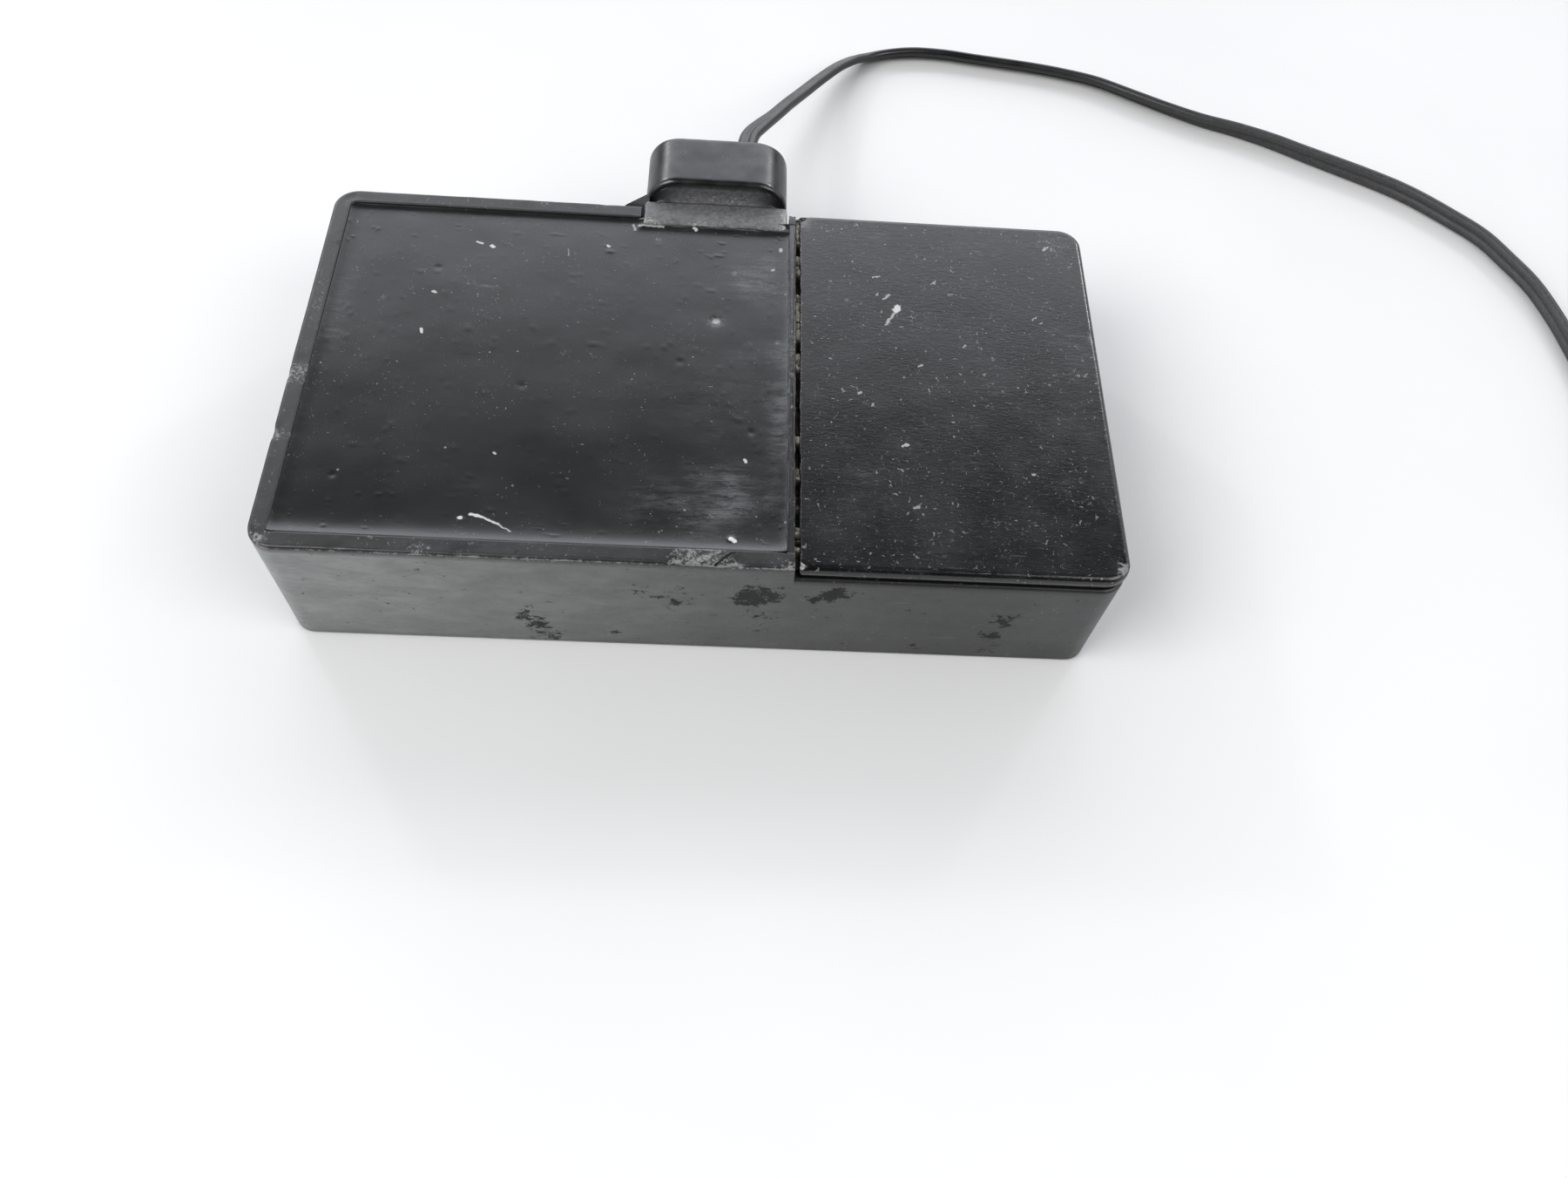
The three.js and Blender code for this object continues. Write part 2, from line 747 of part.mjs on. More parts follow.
const trimmer = {
  x: bayRight - 6.2,
  y: bayFront + 7.2,
  size: 7,
  height: 3,
  rotorRadius: 2.3,
  rotorDepth: 1.4,
  rise: 0.2,
  slotWidth: 0.6,
  slotDepth: 0.6,
};
const trimmerTop = partLevel + trimmer.height;
const rotorUnder = trimmerTop - trimmer.rotorDepth;
piece(
  'trimmer_base',
  geometryOf(
    cut(
      solid(block(seat(trimmer.x, trimmer.y, trimmer.size, trimmer.size, trimmer.height))),
      cylinder(trimmer.x, trimmer.y, trimmer.rotorRadius + slide, [rotorUnder - fit, trimmerTop + 1], 24),
    ),
  ),
  'white',
);
const rotorTop = trimmerTop + trimmer.rise;
const rotorSlot = { length: trimmer.rotorRadius * 1.5, under: rotorTop - trimmer.slotDepth };
piece(
  'trimmer_rotor',
  geometryOf(
    cut(
      solid(cylinder(trimmer.x, trimmer.y, trimmer.rotorRadius, [rotorUnder, rotorTop], 24)),
      block(seat(trimmer.x, trimmer.y, trimmer.slotWidth, rotorSlot.length, 1, rotorSlot.under)),
    ),
  ),
  'brass',
);

piece(
  'status_led',
  turned(
    [
      [0, 0],
      [1.9, 0],
      [1.9, 0.8],
      [1.5, 0.8],
      [1.5, 3],
      [1.3, 3.75],
      [0.75, 4.3],
      [0, 4.5],
    ],
    bayLeft + 15.7,
    bayFront + 6.7,
    partLevel,
    16,
  ),
  'red',
);

// ---------------------------------------------------------------- the lead, its coil and its tie

const lay = leadWidth / 2 + 0.1; // height of the lead's middle where it lies on the table
const lastTurn = coilRadius + coilBand / 2 - coreDiameter; // radius at which the lead joins and leaves
const clearOfCoil = coilRadius + coilBand / 2 + fit + leadWidth / 2;
const tangentRun = Math.sqrt(clearOfCoil ** 2 - lastTurn ** 2);

const leadPoints = [
  [exitX, blockBack + fit, exitZ],
  [3.8, 40, 11.9],
  [3.8, 44.5, 11.5],
  [4.3, 48.2, 10.9],
  [5.7, 51.2, 10.2],
  [7.5, 54.9, 9],
  [9.6, 59.7, 7.4],
  [11.9, 64.4, 5.9],
  [15.1, 70.7, 4],
  [18.3, 75.8, 2.6],
  [22.9, 80.2, lay],
  [28.5, 81.8, lay],
  [34, 81.9, lay],
  [39.5, 81.2, lay],
  [47.7, 80.1, lay],
  [53.2, 79, lay],
  [58.5, 77.4, lay],
  [63.7, 74.7, lay],
  [68.8, 72, lay],
  [73.9, 69.6, lay],
  [79.1, 67.8, lay],
  [84.2, 65.6, lay],
  [89.1, 63, lay],
  [98.7, 58, lay],
  [103.4, 55, lay],
  [107.7, 51.3, lay],
  [111.9, 47.1, lay],
  [114.5, 42.5, lay],
  [116.8, 37.6, lay],
  [118.2, 31.6, lay],
  [118.9, 26, lay],
  [coilX - lastTurn, 19, lay],
  [coilX - lastTurn, coilY + tangentRun, lay],
];
piece('lead', tube(leadPoints, leadWidth / 2, 64), 'rubber');

const tieRing = {
  y: [coilY + coilRadius - coilBand / 2 - fit, coilY + coilRadius + coilBand / 2 + fit],
  z: [tieThickness, coilHeight + fit],
};

function makeCoil() {
  const half = coilBand / 2;
  const soft = 1;
  const section = [
    [coilRadius - half + soft, 0],
    [coilRadius + half - soft, 0],
    [coilRadius + half, soft],
    [coilRadius + half, coilHeight - soft],
    [coilRadius + half - soft, coilHeight],
    [coilRadius - half + soft, coilHeight],
    [coilRadius - half, coilHeight - soft],
    [coilRadius - half, soft],
    [coilRadius - half + soft, 0],
  ];
  const ring = solid(turned(section, coilX, coilY, 0, 32));
  const side = tieWidth / 2 + fit;
  return geometryOf(
    cut(
      ring,
      block({
        x: [coilX - side, coilX + side],
        y: [tieRing.y[0] - 1, tieRing.y[1] + 1],
        z: [-1, tieThickness + fit],
      }),
    ),
  );
}
piece('lead_coil', makeCoil(), 'rubber');

function makeTie() {
  const x = [coilX - tieWidth / 2, coilX + tieWidth / 2];
  const outer = {
    x,
    y: [tieRing.y[0] - tieThickness, tieRing.y[1] + tieThickness],
    z: [0, tieRing.z[1] + tieThickness],
  };
  const head = {
    x: [coilX - tieWidth / 2 - 0.6, coilX + tieWidth / 2 + 0.6],
    y: [outer.y[1] - 0.1, outer.y[1] + 2.2],
    z: [0.6, 4.4],
  };
  const inside = { x: [x[0] - 1, x[1] + 1], y: tieRing.y, z: tieRing.z };
  return geometryOf(cut(join(solid(block(outer)), block(head)), block(inside)));
}
piece('coil_tie', makeTie(), 'tie');

// ---------------------------------------------------------------- the connector on the lead's end

const plugX = coilX + lastTurn;
const plugMiddle = plugHeight / 2;
const tailPoints = [
  [plugX, coilY + tangentRun, lay],
  [plugX, coilY + tangentRun + 4, lay + 0.3],
  [plugX, plugY - 4, plugMiddle - 0.3],
  [plugX, plugY - fit, plugMiddle],
];
piece('lead_tail', tube(tailPoints, leadWidth / 2, 8), 'rubber');

const plugInner = {
  x: [plugX - plugWidth / 2 + plugWall, plugX + plugWidth / 2 - plugWall],
  z: [plugWall, plugHeight - plugWall],
};
const sealSpace = { ...plugInner, y: [plugY, plugY + plugBack] };
const mouthSpace = { ...plugInner, y: [plugY + plugLength - plugMouth, plugY + plugLength] };
const pinPlaces = [-pinPitch / 2, pinPitch / 2].map((dx) => ({
  x: [plugX + dx - pinThickness / 2, plugX + dx + pinThickness / 2],
  y: [sealSpace.y[1] - fit, sealSpace.y[1] - fit + pinLength],
  z: [plugMiddle - pinThickness / 2, plugMiddle + pinThickness / 2],
}));

function makePlug() {
  const latch = seat(plugX, plugY + plugLength / 2, 3, 6, 0.9, plugHeight - 0.1);
  const ribs = [-1, 1].map((side) => ({
    x: [plugX + side * (plugWidth / 2 - 0.8) - 0.4, plugX + side * (plugWidth / 2 - 0.8) + 0.4],
    y: [plugY + 1, plugY + plugLength - 1],
    z: [plugHeight - 0.1, plugHeight + 0.5],
  }));
  const shell = slab(
    roundedOutline(
      [plugX - plugWidth / 2, plugX + plugWidth / 2],
      [plugY, plugY + plugLength],
      [0.5, 0.5, 0.5, 0.5],
    ),
    [0, plugHeight],
    0.4,
    2,
  );
  const body = join(solid(shell), block(latch), ...ribs.map(block));
  const holes = pinPlaces.map((space) => {
    const wide = grow(space, fit);
    return block({ x: wide.x, y: [sealSpace.y[1] - 0.1, mouthSpace.y[0] + 0.1], z: wide.z });
  });
  return geometryOf(
    cut(
      body,
      block({ ...sealSpace, y: [sealSpace.y[0] - 1, sealSpace.y[1]] }),
      block({ ...mouthSpace, y: [mouthSpace.y[0], mouthSpace.y[1] + 1] }),
      ...holes,
    ),
  );
}
piece('connector_housing', makePlug(), 'tie');
pinPlaces.forEach((space, i) => piece(`connector_pin_${i + 1}`, block(space), 'brass'));

function makeSeal() {
  const space = {
    x: [sealSpace.x[0] + fit, sealSpace.x[1] - fit],
    y: [sealSpace.y[0], sealSpace.y[1] - 2 * fit],
    z: [sealSpace.z[0] + fit, sealSpace.z[1] - fit],
  };
  return block(space);
}
piece('connector_seal', makeSeal(), 'blue');

export default opener;
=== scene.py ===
"""A wired garage door opener module: a moulded box half filled with resin, a cover and a thin lead."""

import math

import bmesh
import bpy
import numpy as np
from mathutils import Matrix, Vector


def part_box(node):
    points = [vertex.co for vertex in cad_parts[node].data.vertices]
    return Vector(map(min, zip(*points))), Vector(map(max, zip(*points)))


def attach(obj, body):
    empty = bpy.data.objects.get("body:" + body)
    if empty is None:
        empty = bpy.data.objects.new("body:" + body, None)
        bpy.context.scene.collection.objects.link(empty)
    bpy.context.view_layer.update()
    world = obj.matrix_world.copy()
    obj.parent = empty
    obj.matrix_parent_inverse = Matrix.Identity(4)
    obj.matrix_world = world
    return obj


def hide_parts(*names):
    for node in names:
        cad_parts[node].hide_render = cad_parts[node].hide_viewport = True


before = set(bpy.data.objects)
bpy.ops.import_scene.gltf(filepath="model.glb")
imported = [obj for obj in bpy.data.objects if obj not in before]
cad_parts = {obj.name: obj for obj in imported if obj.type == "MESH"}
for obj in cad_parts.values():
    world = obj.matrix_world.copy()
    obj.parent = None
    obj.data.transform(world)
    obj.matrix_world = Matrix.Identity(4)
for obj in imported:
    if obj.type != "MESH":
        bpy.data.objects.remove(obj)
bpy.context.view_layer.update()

# Lengths below are millimetres in the frame's own axes. surface() turns them into metres.
MM = 0.001
FIT = 0.3  # gap that the solids keep between pieces that touch
SHARP_ANGLE = math.radians(48)  # edges that turn more than this are shaded as edges
SWITCH_PITCH = 2.54
RIBBON_PITCH = 1.27


def box_mm(node):
    """The node's lowest and highest corners, in millimetres."""
    low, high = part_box(node)
    return np.array(low) / MM, np.array(high) / MM


COVER_LOW, COVER_HIGH = box_mm("access_cover")
RESIN_LOW, RESIN_HIGH = box_mm("potting_block")
GROMMET_LOW, GROMMET_HIGH = box_mm("cable_grommet")
COIL_LOW, COIL_HIGH = box_mm("lead_coil")
PLUG_LOW = box_mm("connector_housing")[0]
TIE_LOW, TIE_HIGH = box_mm("coil_tie")

HALF_LENGTH = COVER_HIGH[0]
HALF_WIDTH = COVER_HIGH[1]
RIM = box_mm("case_shell")[1][2]
FLOOR = RESIN_LOW[2] - FIT
WALL = HALF_WIDTH - (RESIN_HIGH[1] + FIT)
CORNER = 2.75
DRAFT = 0.4
DIVIDER_LEFT = RESIN_HIGH[0] + FIT
DIVIDER_THICKNESS = 0.9
DIVIDER_RIGHT = DIVIDER_LEFT + DIVIDER_THICKNESS
COVER_THICKNESS = 2.0
COVER_UNDER = COVER_HIGH[2] - COVER_THICKNESS
BAY_WALL_TOP = COVER_UNDER - FIT
NOTCH_UNDER = GROMMET_LOW[2] - FIT
NOTCH_LEFT = GROMMET_LOW[0] - FIT
RESIN_TOP = RESIN_HIGH[2]
TAB_FRONT = GROMMET_LOW[1] + 0.25
TAB_BACK = 26.55
BLOCK_FRONT = 27.2


# ------------------------------------------------------------------ working out surfaces


def smoothstep(t):
    """Eases from 0 to 1: three t squared less two t cubed, held to the ends."""
    t = np.clip(t, 0.0, 1.0)
    return t * t * (3.0 - 2.0 * t)


def bell(distance, width, power=2):
    """One at no distance, falling to none: e to the minus (distance over width) to the power."""
    return np.exp(-((distance / width) ** power))


def lattice_noise(points, cell, seed):
    """Smooth noise from -1 to 1: a hashed random value at each lattice corner, eased between corners."""
    scaled = np.asarray(points, float) / cell
    base = np.floor(scaled).astype(np.int64)
    part = smoothstep(scaled - base)
    total = np.zeros(len(scaled))
    for corner in range(8):
        step = np.array([corner & 1, corner >> 1 & 1, corner >> 2 & 1])
        key = (base + step) @ np.array([374761393, 668265263, 2147483647 % 1274126177])
        key = (key ^ (seed * 1103515245)) & 0x7FFFFFFF
        key = (key ^ (key >> 13)) * 1274126177 & 0x7FFFFFFF
        value = ((key ^ (key >> 16)) & 0xFFFF) / 32767.5 - 1.0
        weight = np.prod(np.where(step == 1, part, 1.0 - part), axis=1)
        total += value * weight
    return total


def ragged(points, cell, seed, octaves=3):
    """Lattice noise summed over octaves, each half the size and half the height of the one before."""
    return sum(lattice_noise(points, cell / 2**k, seed + 17 * k) / 2**k for k in range(octaves))


def spots(x, y, marks):
    """Sum of soft round marks: height times the bell curve of the distance over the radius."""
    total = np.zeros_like(x)
    for mark_x, mark_y, radius, height in marks:
        total += height * np.exp(-(((x - mark_x) ** 2 + (y - mark_y) ** 2) / radius**2))
    return total


def grid_quads(rows, columns):
    """Quads of a grid numbered row by row, closed round its columns."""
    i = np.arange(rows - 1)[:, None]
    j = np.arange(columns)[None, :]
    after = (j + 1) % columns
    corners = (i * columns + j, i * columns + after, (i + 1) * columns + after, (i + 1) * columns + j)
    return np.stack(np.broadcast_arrays(*corners), axis=-1).reshape(-1, 4)


def lofted(rings):
    """Closed shell through closed rings, shaped (rings, points, 3). Quads join each ring to the next, and
    each end ring is closed by a fan to its own middle. Returns vertices and a list of faces."""
    count, around = rings.shape[:2]
    quads = grid_quads(count, around)
    middles = np.stack([rings[0].mean(0), rings[-1].mean(0)])
    vertices = np.vstack([rings.reshape(-1, 3), middles])
    j = np.arange(around)
    after = (j + 1) % around
    first = np.stack([np.full(around, count * around), after, j], axis=1)
    last_row = (count - 1) * around
    last = np.stack([np.full(around, count * around + 1), last_row + j, last_row + after], axis=1)
    return vertices, [quads, first, last]


def volume(vertices, faces):
    """Signed volume: a sixth of the sum of the triple products of each face's fan of triangles."""
    total = 0.0
    for group in faces:
        for k in range(1, group.shape[1] - 1):
            a, b, c = vertices[group[:, 0]], vertices[group[:, k]], vertices[group[:, k + 1]]
            total += np.einsum("ij,ij->i", a, np.cross(b, c)).sum() / 6.0
    return total


def shells(*parts):
    """Several closed shells as one: the vertices stacked, and each shell's faces numbered on from the
    last. A shell that is inside out has its faces turned."""
    vertices, groups, start = [], [], 0
    for part_vertices, part_faces in parts:
        turned = volume(part_vertices, part_faces) < 0
        for group in part_faces:
            groups.append((group[:, ::-1] if turned else group) + start)
        vertices.append(part_vertices)
        start += len(part_vertices)
    return np.vstack(vertices), groups


def placed(name, data):
    """A new object of the data, in the scene."""
    holder = bpy.data.objects.new(name, data)
    bpy.context.scene.collection.objects.link(holder)
    return holder


def surface(name, parts, material, body, replaced=(), marks=None):
    """Makes one mesh piece of closed shells given in millimetres, gives it its material, hangs it on its
    body and hides the solids it stands for. marks are named values for the first vertices. The other
    vertices have none."""
    vertices, groups = shells(*parts)
    mesh = bpy.data.meshes.new(name)
    faces = [tuple(face) for group in groups for face in group.tolist()]
    mesh.from_pydata((vertices * MM).tolist(), [], faces)
    mesh.polygons.foreach_set("use_smooth", np.ones(len(mesh.polygons), bool))
    mesh.set_sharp_from_angle(angle=SHARP_ANGLE)
    for mark, values in (marks or {}).items():
        padded = np.zeros(len(vertices), np.float32)
        padded[:len(values)] = values
        mesh.attributes.new(mark, "FLOAT", "POINT").data.foreach_set("value", padded)
    mesh.update()
    piece = placed(name, mesh)
    mesh.materials.append(material)
    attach(piece, body)
    if replaced:
        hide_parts(*replaced)
    return piece


def rounded_ring(low, high, radii, side_points=24, arc_points=6):
    """Rounded rectangle in plan, anticlockwise from the front left: each side is a straight run and each
    corner a quarter circle of its own radius (front right, back right, back left, front left)."""
    (x0, y0), (x1, y1) = low, high
    fr, br, bl, fl = radii
    corners = [((x1 - fr, y0 + fr), fr, -90), ((x1 - br, y1 - br), br, 0),
               ((x0 + bl, y1 - bl), bl, 90), ((x0 + fl, y0 + fl), fl, 180)]
    arcs = []
    for (cx, cy), radius, start in corners:
        angle = np.radians(start + np.linspace(0, 90, arc_points))
        arcs.append(np.stack([cx + radius * np.cos(angle), cy + radius * np.sin(angle)], axis=1))
    points = []
    for k, arc in enumerate(arcs):
        along = np.linspace(0, 1, side_points + 2)[1:-1, None]
        before = arcs[k - 1][-1]
        points.append(before + (arc[0] - before) * along)
        points.append(arc)
    return np.vstack(points)


def quarter(count):
    """Steps round a quarter circle of radius one, as pairs that go from (1, 0) to (0, 1): one less the
    sine and one less the cosine."""
    turn = np.radians(np.linspace(0, 90, count))
    return list(zip(1 - np.sin(turn), 1 - np.cos(turn)))


def at_depth(across, y, up):
    """An upright ring at y, from its points' x and z."""
    return np.column_stack([across, np.full(len(across), y), up])


def at_height(ring, z):
    """A plan ring lifted to height z."""
    return np.column_stack([ring, np.full(len(ring), z)])


def slab_shell(low, high, radii, edge, side_points=8, arc_points=5, edge_steps=3):
    """Upright slab of a rounded rectangle, with quarter circles of radius edge at its top and bottom."""
    steps = quarter(edge_steps + 1)
    rows = [(edge * side, low[2] + edge * up) for side, up in steps]
    rows += [(edge * side, high[2] - edge * up) for side, up in reversed(steps)]
    rings = []
    for by, z in rows:
        shrunk = [max(radius - by, 0.01) for radius in radii]
        near, far = (low[0] + by, low[1] + by), (high[0] - by, high[1] - by)
        rings.append(at_height(rounded_ring(near, far, shrunk, side_points, arc_points), z))
    return lofted(np.array(rings))


def turned_shell(profile, centre, around=32):
    """Turned shape: each (radius, height) of the profile is a level circle round the centre."""
    angle = np.linspace(0, 2 * math.pi, around, endpoint=False)
    rings = [np.column_stack([centre[0] + radius * np.cos(angle), centre[1] + radius * np.sin(angle),
                              np.full(around, centre[2] + height)]) for radius, height in profile]
    return lofted(np.array(rings))


def catmull_rom(points, per_span=12):
    """Smooth line through the points: each span is the cubic whose slope at a point is half the step
    between that point's two neighbours."""
    p = np.asarray(points, float)
    ends = np.vstack([2 * p[0] - p[1], p, 2 * p[-1] - p[-2]])
    t = np.linspace(0, 1, per_span, endpoint=False)[None, :, None]
    a, b, c, d = (ends[k:len(ends) - 3 + k][:, None] for k in range(4))
    square, cube = 2 * a - 5 * b + 4 * c - d, 3 * b - a - 3 * c + d
    line = 0.5 * (2 * b + (c - a) * t + square * t**2 + cube * t**3)
    return np.vstack([line.reshape(-1, 3), p[-1:]])


def evenly(line, step):
    """The same line at even spacing along its length."""
    run = np.concatenate([[0], np.cumsum(np.linalg.norm(np.diff(line, axis=0), axis=1))])
    wanted = np.linspace(0, run[-1], max(2, int(round(run[-1] / step)) + 1))
    return np.column_stack([np.interp(wanted, run, line[:, k]) for k in range(3)])


def directions(line):
    """Unit tangent, and the unit vectors up and to the side of it, at each point of a line."""
    tangent = np.gradient(line, axis=0)
    tangent /= np.linalg.norm(tangent, axis=1, keepdims=True)
    up = np.array([0.0, 0.0, 1.0]) - tangent * tangent[:, 2:3]
    up /= np.linalg.norm(up, axis=1, keepdims=True)
    return tangent, up, np.cross(tangent, up)


# ------------------------------------------------------------------ materials


class Recipe:
    """The nodes of a new material or world, linked as they are made."""

    def __init__(self, owner):
        owner.use_nodes = True
        self.owner = owner
        self.nodes = owner.node_tree.nodes
        self.links = owner.node_tree.links
        self.coordinates = self.nodes.new("ShaderNodeTexCoord")
        self.place = self.coordinates.outputs["Object"]

    def put(self, socket, value):
        """Links another socket to this one, or sets a plain value. None leaves it as it is."""
        if isinstance(value, bpy.types.NodeSocket):
            self.links.new(value, socket)
        elif value is not None:
            socket.default_value = value

    def add(self, kind, **inputs):
        """A new node, with the named inputs put in."""
        node = self.nodes.new("ShaderNode" + kind)
        for name, value in inputs.items():
            self.put(node.inputs[name], value)
        return node

    def noise(self, size, detail=3.0, roughness=0.5, stretch=None, distortion=0.0):
        """Noise whose coarsest lumps are about size millimetres, drawn out where stretch is small."""
        where = self.place
        if stretch:
            where = self.add("Mapping", Vector=self.place, Scale=stretch).outputs["Vector"]
        node = self.add("TexNoise", Vector=where, Scale=1.0 / (size * MM), Detail=detail,
                        Roughness=roughness, Distortion=distortion)
        return node.outputs["Fac"]

    def cells(self, size, feature="F1", randomness=1.0):
        node = self.add("TexVoronoi", Vector=self.place, Scale=1.0 / (size * MM), Randomness=randomness)
        node.feature = feature
        return node

    def ramp(self, value, low, high, to_low=0.0, to_high=1.0):
        """Eases from to_low to to_high as the value goes from low to high."""
        node = self.add("MapRange", Value=value)
        node.interpolation_type = "SMOOTHSTEP"
        for socket, number in zip(node.inputs[1:5], (low, high, to_low, to_high)):
            socket.default_value = number
        return node.outputs["Result"]

    def math(self, operation, a, b):
        node = self.nodes.new("ShaderNodeMath")
        node.operation = operation
        self.put(node.inputs[0], a)
        self.put(node.inputs[1], b)
        return node.outputs["Value"]

    def times(self, a, b):
        return self.math("MULTIPLY", a, b)

    def plus(self, a, b):
        return self.math("ADD", a, b)

    def larger(self, a, b):
        return self.math("MAXIMUM", a, b)

    def mix(self, share, a, b):
        """From colour a to colour b by the share."""
        node = self.nodes.new("ShaderNodeMix")
        node.data_type = "RGBA"
        self.put(node.inputs["Factor"], share)
        for socket, value in ((node.inputs[6], a), (node.inputs[7], b)):
            self.put(socket, value if isinstance(value, bpy.types.NodeSocket) else (*value, 1.0))
        return node.outputs[2]

    def vector(self, operation, a, b=None):
        node = self.nodes.new("ShaderNodeVectorMath")
        node.operation = operation
        self.put(node.inputs[0], a)
        self.put(node.inputs["Scale" if operation == "SCALE" else 1], b)
        return node.outputs["Value" if operation in ("DOT_PRODUCT", "LENGTH") else "Vector"]

    def ragged_place(self, size, reach):
        """Object coordinates pushed about by noise, so that a mark's outline isn't smooth."""
        noise = self.add("TexNoise", Vector=self.place, Scale=1.0 / (size * MM), Detail=4.0)
        centred = self.vector("SUBTRACT", noise.outputs["Color"], (0.5, 0.5, 0.5))
        return self.vector("ADD", self.place, self.vector("SCALE", centred, reach * MM))

    def stroke(self, place, start, end, radius):
        """A mark along a line in plan, in millimetres: one near the line, and easing to none over the
        outer half of its radius."""
        start, end = np.array((*start, 0.0)) * MM, np.array((*end, 0.0)) * MM
        along = end - start
        square = max(float(along @ along), 1e-12)
        flat = self.vector("MULTIPLY", place, (1.0, 1.0, 0.0))
        offset = self.vector("SUBTRACT", flat, tuple(start))
        share = self.math("DIVIDE", self.vector("DOT_PRODUCT", offset, tuple(along)), square)
        held = self.math("MINIMUM", self.larger(share, 0.0), 1.0)
        nearest = self.vector("SCALE", tuple(along), held)
        away = self.vector("LENGTH", self.vector("SUBTRACT", offset, nearest))
        return self.ramp(away, radius * MM, radius * MM * 0.5)

    def strokes(self, place, rows):
        """The strongest of several strokes, each (start x, start y, end x, end y, radius, strength)."""
        total = 0.0
        for x0, y0, x1, y1, radius, strength in rows:
            one = self.times(self.stroke(place, (x0, y0), (x1, y1), radius), strength)
            total = self.larger(one, total)
        return total

    def mark(self, name):
        """The values that surface() gave the vertices under this name."""
        node = self.nodes.new("ShaderNodeAttribute")
        node.attribute_name = name
        return node.outputs["Fac"]

    def bump(self, height, depth, strength=1.0, under=None):
        node = self.add("Bump", Height=height, Strength=strength, Distance=depth * MM, Normal=under)
        return node.outputs["Normal"]

    def finish(self, colour, roughness, normal=None, **fixed):
        """Puts the results and any other inputs into the shader, and gives the material."""
        shader = self.nodes["Principled BSDF"].inputs
        self.put(shader["Base Color"], colour)
        self.put(shader["Roughness"], roughness)
        self.put(shader["Normal"], normal)
        for name, value in fixed.items():
            shader[name.replace("_", " ")].default_value = value
        return self.owner


def dust_specks(r, size, share, reach):
    """Fine specks: a dot at the middle of the few cells whose random number is above the share."""
    cell = r.cells(size)
    dot = r.ramp(cell.outputs["Distance"], reach, reach * 0.45)
    split = r.add("SeparateColor", Color=cell.outputs["Color"])
    return r.times(dot, r.math("GREATER_THAN", split.outputs["Red"], share))


def crumbs(r, size, cluster_size, threshold, spread):
    """Irregular crumbs: peaks of fine noise, kept in groups where a slower noise is high."""
    peaks = r.ramp(r.noise(size, 1.5, 0.6, distortion=0.7), threshold, threshold + 0.035)
    groups = r.ramp(r.noise(cluster_size, 3.0, 0.7), spread - 0.06, spread + 0.12)
    return r.times(peaks, groups)


